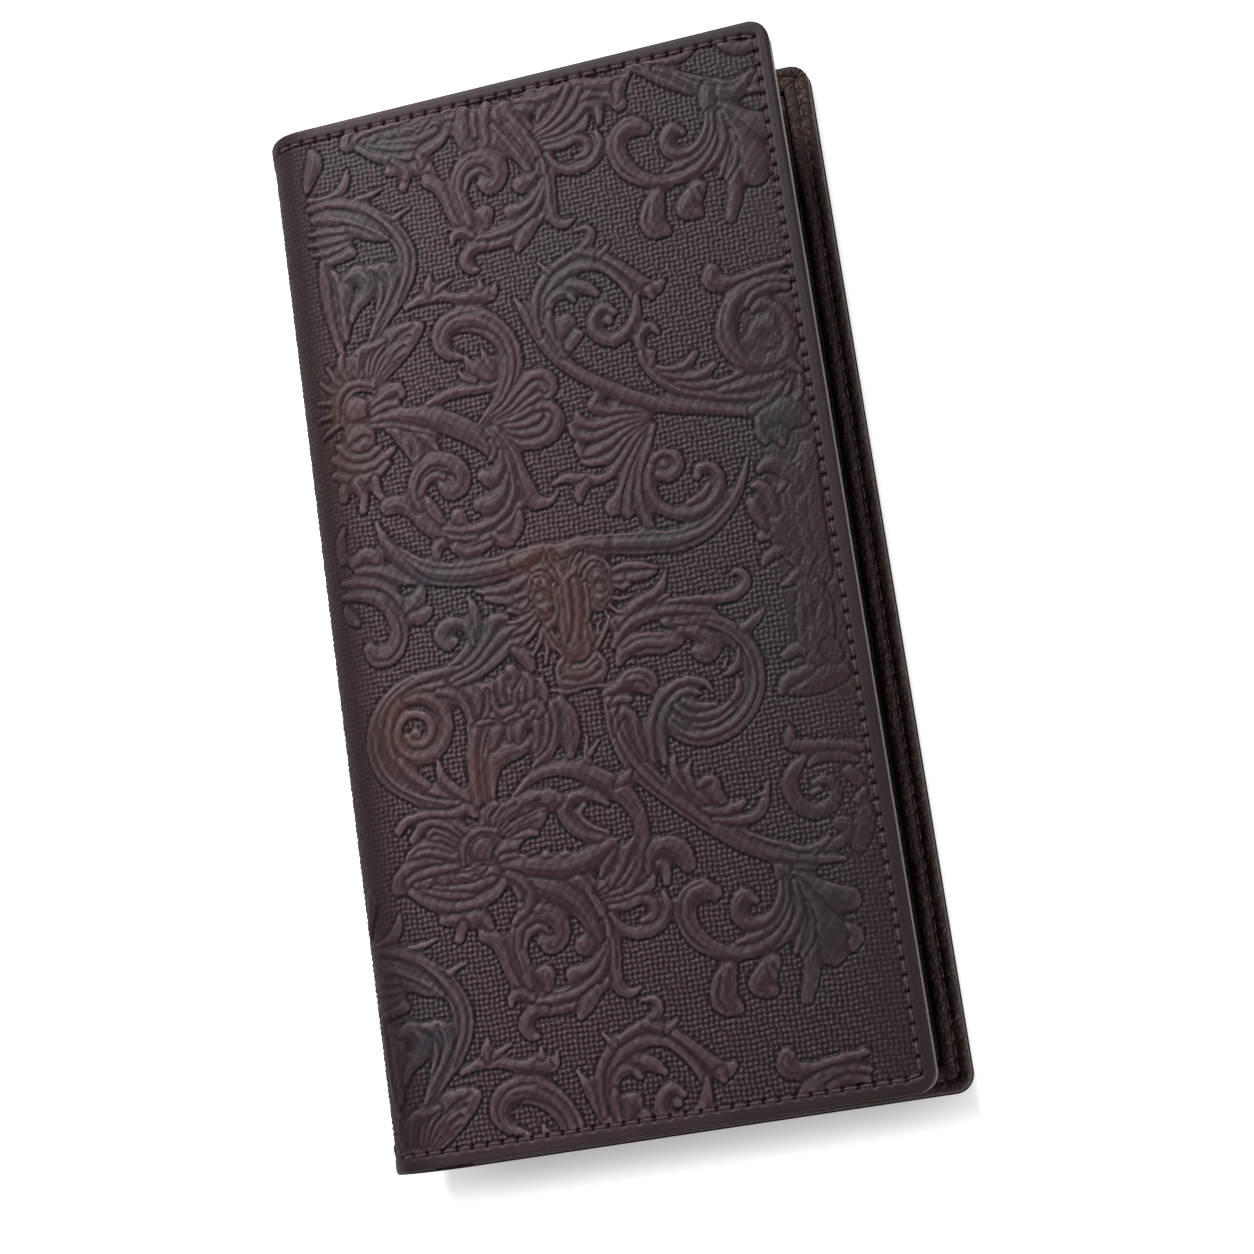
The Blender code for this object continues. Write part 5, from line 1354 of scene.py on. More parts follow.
def rounded_outline(place, along):
    """Moves points of a square corner onto the rounded fore corners of the sheet."""
    place, along = place.copy(), along.copy()
    for centre, way in FORE_CORNERS:
        for side in (1, -1):
            a = (place - centre) * way / CORNER_RADIUS
            b = (along * side - (HALF_LENGTH - CORNER_RADIUS)) / CORNER_RADIUS
            corner = (a > 0) & (b > 0)
            a, b = round_off(a[corner], b[corner])
            place[corner] = centre + way * CORNER_RADIUS * a
            along[corner] = side * (HALF_LENGTH - CORNER_RADIUS + CORNER_RADIUS * b)
    return place, along


def surface_offset(place, along):
    """Distance of the tooled face from the middle of the leather. The table has pressed the back flat."""
    level = 0.3 * np.maximum(place - FOLD_PLACES[0], 0) - GROUND
    return WALL + GROUND + np.minimum(relief.read(relief.height, place, along), level)


def surface_normals(place, along):
    """Normals of the tooled surface, worked out from the relief so that neighbouring pieces agree."""
    step = 0.3
    slope_across = (surface_offset(place + step, along) - surface_offset(place - step, along)) / (2 * step)
    slope_along = (surface_offset(place, along + step) - surface_offset(place, along - step)) / (2 * step)
    _, normal = section(place.ravel())
    way = np.stack([normal[:, 1], -normal[:, 0]], 1)
    flat = normal - slope_across.reshape(-1, 1) * way
    normals = np.stack([flat[:, 0], -slope_along.ravel(), flat[:, 1]], 1)
    return normals / np.linalg.norm(normals, axis=1, keepdims=True)


def dress(piece, place, along, outer):
    """Attributes for the material, and shading normals on the outer face, for a piece's first vertices."""
    total, count, outer = len(piece.data.vertices), place.size, outer.ravel()
    sheet, tooling, rim = np.zeros((total, 3)), np.tile(SIDE_OF_LEATHER, (total, 1)), np.ones(total)
    sheet[:count, 0], sheet[:count, 1] = place.ravel(), along.ravel()
    tooled = [relief.read(raster, place, along).ravel() for raster in (wear_and_painted_light, relief.raised, relief.tone)]
    tooling[:count][outer] = np.stack([*tooled, np.ones(count)], 1)[outer]
    rim[:count] = relief.read(margin, place, along).ravel()
    write_attribute(piece, "sheet", "FLOAT_VECTOR", "vector", sheet)
    write_attribute(piece, "tooling", "FLOAT_COLOR", "color", tooling)
    write_attribute(piece, "margin", "FLOAT", "value", rim)
    smooth(piece)
    normals = np.zeros((total, 3))
    normals[:count][outer] = surface_normals(place, along)[outer]
    piece.data.normals_split_custom_set_from_vertices(normals.tolist())


print("leather:", LEATHER, "mm thick, its ground", -GROUND, "mm below the face")

# %% Flat pieces of leather


def flat_skin(name, places, alongs, body, replaced):
    """A tooled piece of the front or the back: relief outside, plain inside, closed all round."""
    place, along = rounded_outline(*np.meshgrid(places, alongs))
    piece = fit_grid(name, place_on_sheet(place, along, surface_offset(place, along)))
    in_edit_mode(piece, EDGE_MODE, SELECT_NONE, SELECT_OPEN_EDGES, (bpy.ops.mesh.extrude_edges_move, {}),
                 (bpy.ops.mesh.edge_face_add, {}))
    wall = vertices_of(piece.data)
    middle = places[len(places) // 2]
    normal = flat_normal(middle)
    level = (wall[place.size:] - place_on_sheet(middle, 0.0, 0.0)) @ normal
    wall[place.size:] -= np.outer(level + WALL * MM, normal)
    piece.data.vertices.foreach_set("co", wall.ravel())
    piece.data.update()
    dress(piece, place, along, np.ones(place.size, bool))
    return finish_piece(piece, LEATHER_SURFACE, body, replaced)


ALONG_CELLS = np.linspace(-HALF_LENGTH, HALF_LENGTH, 761)
front_places = np.linspace(FRONT_START, HALF_WIDTH, 357)
for part_name, first, last, replaced in (("front_skin_lower", 0, 253, ("front_cover",)),
                                         ("front_skin_middle", 253, 507, ()),
                                         ("front_skin_upper", 507, 760, ())):
    flat_skin(part_name, front_places, ALONG_CELLS[first:last + 1], "front_half", replaced)
flat_skin("back_skin", np.linspace(BACK_END, BACK_START, 206), np.linspace(-HALF_LENGTH, HALF_LENGTH, 423),
          "back_half", ("back_cover",))

# %% Curved pieces of leather over the spine
SPINE = [("back_half", "spine_lower"), ("spine_lower", "spine_middle"), ("spine_middle", "spine_upper"),
         ("spine_upper", "front_half")]


def spine_nodes(kind):
    """The CAD nodes that a layer's four pieces replace. There are three strips, so the last has none."""
    return [(f"spine_{kind}_{number}",) for number in (1, 2, 3)] + [()]


def match_rows(found, wanted):
    """For each found point, its number in wanted: merging doubles keeps the points but not their order."""
    def key(points):
        return [tuple(row) for row in np.round(points / 1e-6).astype(np.int64)]
    numbers = {point: number for number, point in enumerate(key(wanted.astype(np.float32)))}
    return np.array([numbers[point] for point in key(found)])


def spine_skin(name, start, end, cells_across, alongs, replaced):
    """A curved spine piece: its section is a loop of points, carried along the wallet's length."""
    outer = np.linspace(start, end, cells_across + 1)
    inner = np.linspace(end, start, 9)
    place, along = np.meshgrid(np.concatenate([outer, inner, outer[:1]]), alongs)
    offset = surface_offset(place, along)
    offset[:, outer.size:-1] = -WALL
    points = place_on_sheet(place, along, offset)
    piece = fit_grid(name, points)
    close_tube(piece, 1e-7)
    keep = place.shape[1] - 1
    assert len(piece.data.vertices) == keep * len(alongs), "merging changed more than the closing column"
    order = match_rows(vertices_of(piece.data, np.float32), points[:, :keep].reshape(-1, 3))
    outside = np.tile(np.arange(keep) < outer.size, len(alongs))
    dress(piece, place[:, :keep].ravel()[order], along[:, :keep].ravel()[order], outside[order])
    finish_piece(piece, LEATHER_SURFACE, replaced=replaced)
    return bend_with_spine(piece, start, end)


for number, (bodies, replaced) in enumerate(zip(SPINE, spine_nodes("leather"))):
    start = BACK_START + number * STRIP
    cells, alongs = (29, ALONG_CELLS) if number == 3 else (20, ALONG_CELLS[::2])
    spine_skin(f"spine_skin_{number + 1}", start, start + STRIP, cells, alongs, replaced)

# %% [markdown]
# ## Stitches
# One stitch is modelled and copied: a six-sided length of waxed thread that arches between two holes and
# dives into each. It starts as a cylinder lying along X, is cut into lengths by bisect, its ends are pinched
# and its middle rises. Real thread pulls tight, so the stitch sits in its crease and not on top of the
# leather. Six sides are enough for a thread half a millimetre thick.

# %% One stitch and its copies
THREAD_RADIUS = 0.27
STITCH_SHARE, PINCH, DIVE = 0.93, 0.35, 0.42


def model_stitch():
    """A stitch along X, with its middle at the origin and its outer side towards +Z."""
    deselect_all()
    length = STITCH_PITCH * MM
    bpy.ops.mesh.primitive_cylinder_add(vertices=6, radius=THREAD_RADIUS * MM, depth=length,
                                        end_fill_type="TRIFAN", rotation=(0, math.radians(90), 0))
    made = named("stitch_pattern")
    bpy.ops.object.transform_apply(rotation=True)
    for share in (-0.36, -0.18, 0.18, 0.36):
        plane = {"plane_co": (share * length, 0, 0), "plane_no": (1, 0, 0)}
        in_edit_mode(made, (bpy.ops.mesh.bisect, plane))
    for vertex in made.data.vertices:
        away = abs(vertex.co.x) / (length / 2)
        pinch = 1 - PINCH * away ** 4
        vertex.co = (vertex.co.x * STITCH_SHARE, vertex.co.y * pinch,
                     vertex.co.z * pinch - DIVE * MM * away ** 3)
    return made


def copies_of(pattern, name, places):
    """One object from copies of a pattern; places are (origin, X axis, Z axis) in metres."""
    shape = np.array([vertex.co for vertex in pattern.data.vertices])
    faces = [list(face.vertices) for face in pattern.data.polygons]
    points, joined = [], []
    for number, (origin, way, up) in enumerate(places):
        way = way / np.linalg.norm(way)
        side = np.cross(up, way)
        side /= np.linalg.norm(side)
        points.append(shape @ np.stack([way, side, np.cross(way, side)]) + origin)
        joined += [[vertex + number * len(shape) for vertex in face] for face in faces]
    mesh = bpy.data.meshes.new(name)
    mesh.from_pydata(np.vstack(points).tolist(), [], joined)
    return smooth(new_object(name, mesh))


stitch = model_stitch()
print("one stitch:", len(stitch.data.polygons), "faces")

# %% Rows of stitches
FLAT_PLACES = {"back": BACK_END, "front": HALF_WIDTH}
OUTWARD = {half: flat_normal(place) for half, place in FLAT_PLACES.items()}


def on_half(half, points, height):
    """World points for (width from the fold, along) on a half, at a height in mm in from its outer face."""
    flat = to_sheet(np.asarray(points, float), half)
    return place_on_sheet(flat[..., 0], flat[..., 1], WALL - np.asarray(height, float))


def stitch_row(name, half, holes, height, up, replaced=()):
    """Stitches between holes, at a height inwards; they arch towards up."""
    level = on_half(half, holes, height)
    places = [((a + b) / 2, b - a, up) for a, b in zip(level, level[1:])]
    return finish_piece(copies_of(stitch, name, places), THREAD_SURFACE, f"{half}_half", replaced)


for half, height in (("front", 0.28), ("back", 0.36)):
    stitch_row(f"{half}_cover_stitches", half, seam_holes, height, OUTWARD[half], (f"{half}_cover_thread",))

# %% [markdown]
# ## The bands round the inside
# Inside each half a strip of soft pebbled leather is folded over the edge of all the layers and sewn down.
# Foam under it makes it swell on both sides of the seam, each stitch pulls it in a little, and at the
# corners the leather is gathered into small pleats. It is a grid laid along the U of the edge: one column
# for each place along the edge, one row for each place round the band's section, with the last row merged
# to the first. A bevelled curve could sweep the same section, but nothing would pull it in at each stitch.

# %% The shape of a band
BAND_STEP = 0.6
BAND_START = 4.0
BAND_FOOT = 1.46  # mm in from the outer face, where the band's foot lies on the leather
# Each place on the section is (mm in from the edge, mm above the layer that the band lies on).
BAND_SECTION = [
    (5, -1.4), (5.05, -.5), (4.92, -.12), (4.6, .12), (4.2, .26), (3.8, .3), (3.4, .24), (3, .08),
    (2.75, -.1), (2.5, -.2), (2.25, -.1), (2, .08), (1.6, .24), (1.2, .28), (.8, .18), (.5, -.04),
    (.3, -.38), (.22, -.85), (.22, -1.6),
]
STITCH_PULL, PLEAT, PLEATS = 0.14, 0.13, 9
LOWER_SIDE, LOWER_CORNER, FORE_SIDE, UPPER_CORNER, UPPER_SIDE = range(5)


def band_columns():
    """(kind, share of its length) of each column along the U."""
    side = int((HALF_WIDTH - BAND_START) / BAND_STEP)
    fore = int(2 * HALF_LENGTH / BAND_STEP)
    counts = (side, 14, fore, 14, side)
    return [(kind, step / count) for kind, count in enumerate(counts)
            for step in range(count)] + [(UPPER_SIDE, 1.0)]


def band_point(kind, share, inset):
    """(width, along) of a place on the band, an inset from the edge."""
    reach, radius = max(CORNER_RADIUS, inset), max(CORNER_RADIUS - inset, 0.0)
    side = -1 if kind in (LOWER_SIDE, LOWER_CORNER) else 1
    if kind == FORE_SIDE:
        return HALF_WIDTH - inset, (2 * share - 1) * (HALF_LENGTH - reach)
    share = share if side < 0 else 1 - share
    if kind in (LOWER_SIDE, UPPER_SIDE):
        return BAND_START + share * (HALF_WIDTH - reach - BAND_START), side * (HALF_LENGTH - inset)
    turn = math.radians(90 * share)
    return (HALF_WIDTH - reach + radius * math.sin(turn),
            side * (HALF_LENGTH - reach + radius * math.cos(turn)))


def band_row(columns, inset, rise, reach, phase):
    """(width, along) and height above its layer of each place in one row of the band."""
    points = np.array([band_point(kind, share, inset) for kind, share in columns])
    soft = math.exp(-((inset - SEAM_INSET) / 1.3) ** 2) if rise > -0.6 else 0.0
    pull = STITCH_PULL * soft * np.cos(2 * math.pi * phase)
    gathered = PLEAT if inset < 3.4 and rise > -1.0 else 0.0
    pleat = gathered * np.array([math.sin(share * math.pi * PLEATS) * math.sin(share * math.pi)
                                 * (kind in (LOWER_CORNER, UPPER_CORNER)) for kind, share in columns])
    sway = 0.05 * np.sin(reach * 0.31 + inset) + 0.035 * np.sin(reach * 0.83 + 2.3 * inset)
    return points, rise + (sway if rise > -1.3 else 0.0) - pull + pleat


print("band:", len(BAND_SECTION), "places on its section,", len(band_columns()), "columns")

# %% Bands


def band(half, top):
    """A padded band and its stitches, on the layer at a height inwards."""
    columns = band_columns()
    middle = np.array([band_point(kind, share, SEAM_INSET) for kind, share in columns])
    reach = np.concatenate([[0], np.cumsum(np.hypot(*np.diff(middle, axis=0).T))])
    phase = reach / reach[-1] * round(reach[-1] / STITCH_PITCH)
    profile = [*BAND_SECTION, (0.3, BAND_FOOT - top), (2.2, BAND_FOOT - top), (4.2, -1.4), BAND_SECTION[0]]
    rows = [band_row(columns, inset, rise, reach, phase) for inset, rise in profile]
    piece = fit_grid(f"{half}_band", np.stack([on_half(half, points, top + rise) for points, rise in rows]))
    close_tube(piece, 2e-6)
    smooth(piece, 60)
    finish_piece(piece, PEBBLED_SURFACE, f"{half}_half", (f"{half}_border",))
    stitch_row(f"{half}_band_stitches", half, even_points(middle, STITCH_PITCH), top - 0.1, -OUTWARD[half],
               (f"{half}_border_thread",))


band("back", 4.3)
band("front", 5.1)

# %% [markdown]
# ## The lining of the spine
# The cloth lining follows the leather round the spine. Each of its four pieces is a thin closed tube, made
# as the leather's spine pieces are.

# %% Spine lining
LINING_TOP, LINING_BOTTOM = 1.7, 2.0
LINING_LENGTH = HALF_LENGTH - 0.8


def lining_strip(name, start, end, replaced):
    across = np.linspace(start, end, 13)
    place = np.concatenate([across, across[::-1], across[:1]])
    depth = np.where(np.arange(place.size) // across.size == 1, LINING_BOTTOM, LINING_TOP)
    alongs = np.linspace(-LINING_LENGTH, LINING_LENGTH, 40)
    piece = fit_grid(name, place_on_sheet(*np.meshgrid(place, alongs), WALL - depth))
    close_tube(piece, 1e-7)
    smooth(piece, 40)
    finish_piece(piece, LINING_SURFACE, replaced=replaced)
    bend_with_spine(piece, start, end)
    return piece


spine_lining = []
for number, (bodies, replaced) in enumerate(zip(SPINE, spine_nodes("lining"))):
    start = BACK_START + number * STRIP
    name = f"spine_lining_strip_{number + 1}"
    spine_lining.append(lining_strip(name, start, start + STRIP, replaced))

# %% [markdown]
# ## Linings, panels and pockets
# Behind the leather each half holds thin sheets: cloth linings, a panel, and pockets of thin leather whose
# free edge, the mouth, is turned over and creased with a hot iron. The CAD says where each one lies. Each
# sheet is a grid over that area, with close lines only where a fold or crease needs them. Solidify gives it
# its thickness and Bevel its soft edges, and a window is made by deleting the faces inside it.

# %% Where the CAD sheets lie


def cad_span(node, half):
    """Lowest and highest (width from the fold, along, height inwards) of a CAD node on its half, in mm."""
    points = vertices_of(frame["nodes"][node].data) / MM
    flat = points[:, [0, 2]] - FOLDS[0 if half == "back" else 3]
    way = -BACK_WAY if half == "back" else FRONT_WAY
    span = np.stack([flat @ way, points[:, 1], WALL - flat @ OUTWARD[half][[0, 2]]], 1)
    return span.min(0), span.max(0)


def grid_lines(low, high, marks):
    """Even grid lines from low to high, and the marked ones, without slivers beside the marks."""
    marks = [low, high, *(mark for mark in marks if low + 0.05 < mark < high - 0.05)]
    even = [line for line in np.linspace(low, high, int((high - low) / SHEET_STEP) + 2)
            if min(abs(line - mark) for mark in marks) > 0.4]
    return np.array(sorted([*marks, *even]))


def both_ways(middle, *away):
    return [middle + side * distance for side in (-1, 1) for distance in away]


print("zip tape:", [span.round(2).tolist() for span in cad_span("zip_tape_fore_side", "front")], "mm")

# %% Flat sheets inside
INNER_CORNER = 1.0
SHEET_STEP = 3.0
MOUTH_LINES = (0.25, 0.8, 1.6, 1.8, 2.0, 2.15, 2.35, 3.3, 3.5, 3.65, 3.8, 4.0)
TURNED_EDGE, GLUED_STEP, CREASE = 0.13, 0.10, 0.08
SEAM_DIP, WINDOW_RIM, BEAD_RADIUS = 0.14, 0.10, 0.75


def sheet_grid(low, high, half, forms):
    """(width, along) of each grid point, with close lines where a corner, fold or window needs them."""
    corner = [INNER_CORNER * share for share in (1.0, 0.66, 0.33)]
    marks = [high[0] - inset for inset in corner]
    turns = both_ways(0.0, *(high[1] - inset for inset in corner))
    if "mouth" in forms:
        marks += [low[0] + away for away in MOUTH_LINES]
    if "seam" in forms:
        turns += [forms["seam"], *both_ways(forms["seam"], 0.25, 0.6, 1.2)]
    if "window" in forms:
        middle, half_width, half_length = forms["window"]
        marks += both_ways(middle, *(half_width + away for away in (0, 0.3, 1.2, 2.6)))
        turns += both_ways(0.0, *(half_length + away for away in (0, 0.3, 1.2, 2.6)))
    if "bead" in forms:
        marks += [forms["bead"], *both_ways(forms["bead"], 0.3, 0.6, 0.9, 1.2)]
    widths, alongs = grid_lines(low[0], high[0], marks), grid_lines(low[1], high[1], turns)
    return np.meshgrid(widths if half == "back" else widths[::-1], alongs)


def sheet_height(width, along, low, high, wave, forms):
    """Height inwards of the upper face: shallow waves, turned mouth, pulled seam, pressed rim and bead."""
    height = high[2] + wave * (np.sin(width * 0.21 + along * 0.07 + high[2])
                               * np.sin(along * 0.13 - width * 0.05))
    if "mouth" in forms:
        away = width - low[0]
        height += TURNED_EDGE * (1 - ramp(away, 1.7, 2.0)) - GLUED_STEP * np.exp(-((away - 2.1) / 0.16) ** 2)
        height -= CREASE * np.exp(-((away - 3.65) / 0.16) ** 2)
    if "seam" in forms:
        height -= SEAM_DIP * np.exp(-((along - forms["seam"]) / 0.5) ** 2)
    if "window" in forms:
        middle, half_width, half_length = forms["window"]
        outside = np.maximum(np.abs(width - middle) - half_width, np.abs(along) - half_length)
        height += WINDOW_RIM * (1 - ramp(outside, 1.2, 2.6)) * (outside > -0.01)
    if "bead" in forms:
        height += BEAD_RADIUS * np.sqrt(np.clip(1 - ((width - forms["bead"]) / BEAD_RADIUS) ** 2, 0, 1))
    return height


def inner_sheet(node, half, surface, slot, wave=0.05, **forms):
    """A thin sheet over the area of a CAD node, and its flat size in metres. It may have a mouth, a seam
    (its place along), a window (middle, half width, half length) and a bead (its place across)."""
    low, high = cad_span(node, half)
    width, along = sheet_grid(low, high, half, forms)
    height = sheet_height(width, along, low, high, wave, forms)
    inner = high - INNER_CORNER
    across, up = (width - inner[0]) / INNER_CORNER, (np.abs(along) - inner[1]) / INNER_CORNER
    corner = (across > 0) & (up > 0)
    across, up = round_off(across[corner], up[corner])
    width[corner] = inner[0] + INNER_CORNER * across
    along[corner] = np.sign(along[corner]) * (inner[1] + INNER_CORNER * up)
    flat = np.stack([width.ravel(), along.ravel()], 1)
    piece = fit_grid(f"{node}_sheet", on_half(half, flat, height.ravel()).reshape(*width.shape, 3))
    if "window" in forms:
        centre = np.array([flat[list(face.vertices)].mean(0) for face in piece.data.polygons])
        inside = (np.abs(centre - (forms["window"][0], 0.0)) < forms["window"][1:]).all(1)
        on_faces(piece, inside, (bpy.ops.mesh.delete, {"type": "FACE"}))
    apply_modifier(piece, "SOLIDIFY", thickness=(high[2] - low[2]) * MM, offset=-1.0)
    bevel_edges(piece, 0.12, 2, 50)
    smooth(piece, 35)
    finish_piece(piece, surface, f"{half}_half", (node,))
    return piece, tuple(((high - low)[:2] * MM).tolist())


# %% Pockets and panels
ZIP_MIDDLE, WINDOW_HALF_WIDTH, WINDOW_HALF_LENGTH = 66.0, 5.0, 75.0
WINDOW = (ZIP_MIDDLE, WINDOW_HALF_WIDTH, WINDOW_HALF_LENGTH)
SLOTS = [f"card_slot_{number}" for number in (1, 2, 3, 4)]
for node, half, extra in (*((slot, "back", {"seam": 0.0}) for slot in SLOTS),
                          ("back_inner_panel", "back", {}),
                          ("front_inner_panel", "front", {"window": WINDOW}),
                          ("slip_pocket_1", "front", {}), ("slip_pocket_2", "front", {})):
    inner_sheet(node, half, PEBBLED_SURFACE, "pebbled_leather", mouth=True, **extra)

# %% [markdown]
# ## Cloth
# The two zip tapes hold a bead, on which the teeth are clamped. The linings are cloth that lies stretched
# between its seams, with only a shallow wave, so a cloth simulation would add nothing.

# %% Cloth
BEAD_AWAY = 2.1
zip_tapes = [inner_sheet(node, "front", TAPE_SURFACE, "zip_tape", wave=0.0,
                         bead=ZIP_MIDDLE + side * BEAD_AWAY)[0]
             for node, side in (("zip_tape_spine_side", -1), ("zip_tape_fore_side", 1))]
for node, half, with_pieces in (("back_lining", "back", spine_lining), ("back_panel_backing", "back", ()),
                                ("front_lining", "front", ()), ("coin_pocket_lining", "front", zip_tapes)):
    piece, flat = inner_sheet(node, half, LINING_SURFACE, "lining_cloth", wave=0.04)
    print(piece.name, "was cut to", flat, "m")

# %% [markdown]
# ## Seams inside
# One row of stitches runs over the card slots and parts them into two columns. It climbs a step at each
# mouth. Another row runs round the window of the zip and holds the tapes.

# %% Seams inside
WINDOW_SEAM = 1.9
slot_spans = [cad_span(slot, "back") for slot in SLOTS]
mouths = [low[0] for low, _ in slot_spans]
across = np.arange(mouths[0] + 1.0, slot_spans[-1][1][0] - 2.0, STITCH_PITCH)
highest = np.array([high[2] for _, high in slot_spans])
tops = highest[np.searchsorted(mouths, across + STITCH_PITCH * 0.2) - 1]
stitch_row("card_slot_stitches", "back", np.stack([across, 0 * across], 1), tops - 0.06, -OUTWARD["back"],
           ("card_slot_divider_thread",))
reach_across, reach_along = WINDOW_HALF_WIDTH + WINDOW_SEAM, WINDOW_HALF_LENGTH + WINDOW_SEAM
corners = np.array([(ZIP_MIDDLE + a * reach_across, b * reach_along)
                    for a, b in ((-1, -1), (1, -1), (1, 1), (-1, 1), (-1, -1))])
panel_top = cad_span("front_inner_panel", "front")[1][2]
stitch_row("zip_window_stitches", "front", even_points(corners, STITCH_PITCH), panel_top + 0.02,
           -OUTWARD["front"])
bpy.data.objects.remove(stitch)

# %% [markdown]
# ## The teeth of the zip
# Each metal tooth is stamped from wire and clamped on the bead of its tape: a body with a narrower nose that
# locks between two noses of the other row. It starts as a cube, whose inner face is extruded and drawn in
# three times, and its edges are bevelled. There are nearly two hundred, so each has only a few faces.

# %% Teeth
TOOTH_PITCH = 1.5
TOOTH_AWAY = 1.1
NOSE = ((0.35, 0.62), (0.55, 0.92), (0.25, 0.7))


def model_tooth():
    """A tooth that points along +X, with its middle at the origin."""
    deselect_all()
    bpy.ops.mesh.primitive_cube_add(size=1)
    made = named("tooth_pattern")
    for vertex in made.data.vertices:
        vertex.co = (vertex.co.x * 1.3 - 0.6, vertex.co.y * 0.95, vertex.co.z * 1.16)
    for reach, share in NOSE:
        tip = [face.normal.x > 0.9 and face.center.x > 0 for face in made.data.polygons]
        move = {"TRANSFORM_OT_translate": {"value": (reach, 0, 0)}}
        on_faces(made, tip, (bpy.ops.mesh.extrude_region_move, move),
                 (bpy.ops.transform.resize, {"value": (1, share, 0.9 if share < 0.9 else 1.0)}))
    for vertex in made.data.vertices:
        vertex.co *= MM
    bevel_edges(made, 0.09, 1, 40)
    return made


tooth = model_tooth()
tooth_low, tooth_high = cad_span("zip_teeth_fore_side", "front")
count = int((tooth_high[1] - tooth_low[1]) / TOOTH_PITCH)
middle_height = (tooth_high[2] + tooth_low[2]) / 2
for node, side, shift in (("zip_teeth_spine_side", -1, 0.0), ("zip_teeth_fore_side", 1, 0.5)):
    along = tooth_low[1] + (np.arange(count) + 0.25 + shift) * TOOTH_PITCH
    width = np.full(count, ZIP_MIDDLE + side * TOOTH_AWAY)
    origins = on_half("front", np.stack([width, along], 1), middle_height)
    way = np.array([FRONT_WAY[0], 0, FRONT_WAY[1]]) * -side
    piece = copies_of(tooth, f"{node}_row", [(origin, way, -OUTWARD["front"]) for origin in origins])
    smooth(piece, 30)
    finish_piece(piece, BRASS_SURFACE, "front_half", (node,))
bpy.data.objects.remove(tooth)
print("teeth:", count, "in each row")

# %% [markdown]
# ## Slider, pull and stops
# These keep the CAD's shapes, but cast metal has no sharp edge: a copy of each is merged, its flat faces are
# joined and its edges are bevelled. The slider narrows towards the end that trails as it closes, and the
# pull has a sunk panel on each face.

# %% Slider, pull and stops
PANEL_AREA = 30 * MM * MM


def narrow(made, taper):
    """Draws the -Y end of a part towards the middle of the zip, by a share of its width."""
    along = np.array([vertex.co.y for vertex in made.data.vertices])
    centre = Vector(on_half("front", [(ZIP_MIDDLE, 0.0)], 4.0)[0])
    share = 1 - taper * (along.max() - along) / (along.max() - along.min())
    way = Vector((FRONT_WAY[0], 0, FRONT_WAY[1]))
    for vertex, scale in zip(made.data.vertices, share):
        vertex.co -= way * ((vertex.co - centre) @ way) * (1 - scale)


def sink_panels(made):
    up = Vector(-OUTWARD["front"])
    broad = [abs(face.normal @ up) > 0.9 and face.area > PANEL_AREA for face in made.data.polygons]
    on_faces(made, broad, (bpy.ops.mesh.inset, {"thickness": 0.5 * MM, "depth": 0}),
             (bpy.ops.mesh.inset, {"thickness": 0.15 * MM, "depth": -0.12 * MM}))


def cast(node, body, width, shape=None):
    """A copy of a small metal CAD part with bevelled edges, which may be shaped before they are."""
    made = new_object(f"{node}_cast", frame["nodes"][node].data.copy())
    in_edit_mode(made, (bpy.ops.mesh.remove_doubles, {"threshold": 1e-6}),
                 (bpy.ops.mesh.dissolve_limited, {"angle_limit": math.radians(1)}))
    if shape:
        shape(made)
    bevel_edges(made, width, 2, 35)
    smooth(made, 40)
    return finish_piece(made, BRASS_SURFACE, body, (node,))


cast("zip_slider", "slider", 0.16, lambda made: narrow(made, 0.12))
cast("zip_pull", "pull", 0.2, sink_panels)
cast("zip_top_stop", "front_half", 0.2)
cast("zip_bottom_stop", "front_half", 0.2)

# %% [markdown]
# ## The floor
# The photograph shows the wallet on a white table, with a soft shadow only below its bottom edge. The floor
# looks white to the camera, in reflections and through glass, because its surface gives off light for those
# rays alone, so it doesn't light the leather. That glow is painted light: it is full beside the wallet's
# right side and far below it, where it paints over the key's shadow, weaker near the wallet, where the
# floor's own lit colour and the shadow show through, and weaker still right below the bottom edge, where it
# paints a darker contact shadow.

# %% Floor
FLOOR_SIZE, FLOOR_DROP = 6.0, 0.0001
WHITE = (1.0, 1.0, 1.0, 1.0)
FLOOR_COLOUR = (0.93, 0.93, 0.93, 1.0)
LEAST_WHITE, MORE_WHITE, CONTACT_SHADE = 0.42, 0.58, 0.30
BOTTOM_EDGE, SHADOW_MIDDLE = 0.0955, 0.004


def seen_directly(tree):
    """1 for rays that show the surface itself: from the camera, by reflection or through glass."""
    rays = add(tree, "LightPath")
    return math_node(tree, "MAXIMUM", rays.outputs["Is Camera Ray"],
                     math_node(tree, "MAXIMUM", rays.outputs["Is Glossy Ray"],
                               rays.outputs["Is Transmission Ray"]))


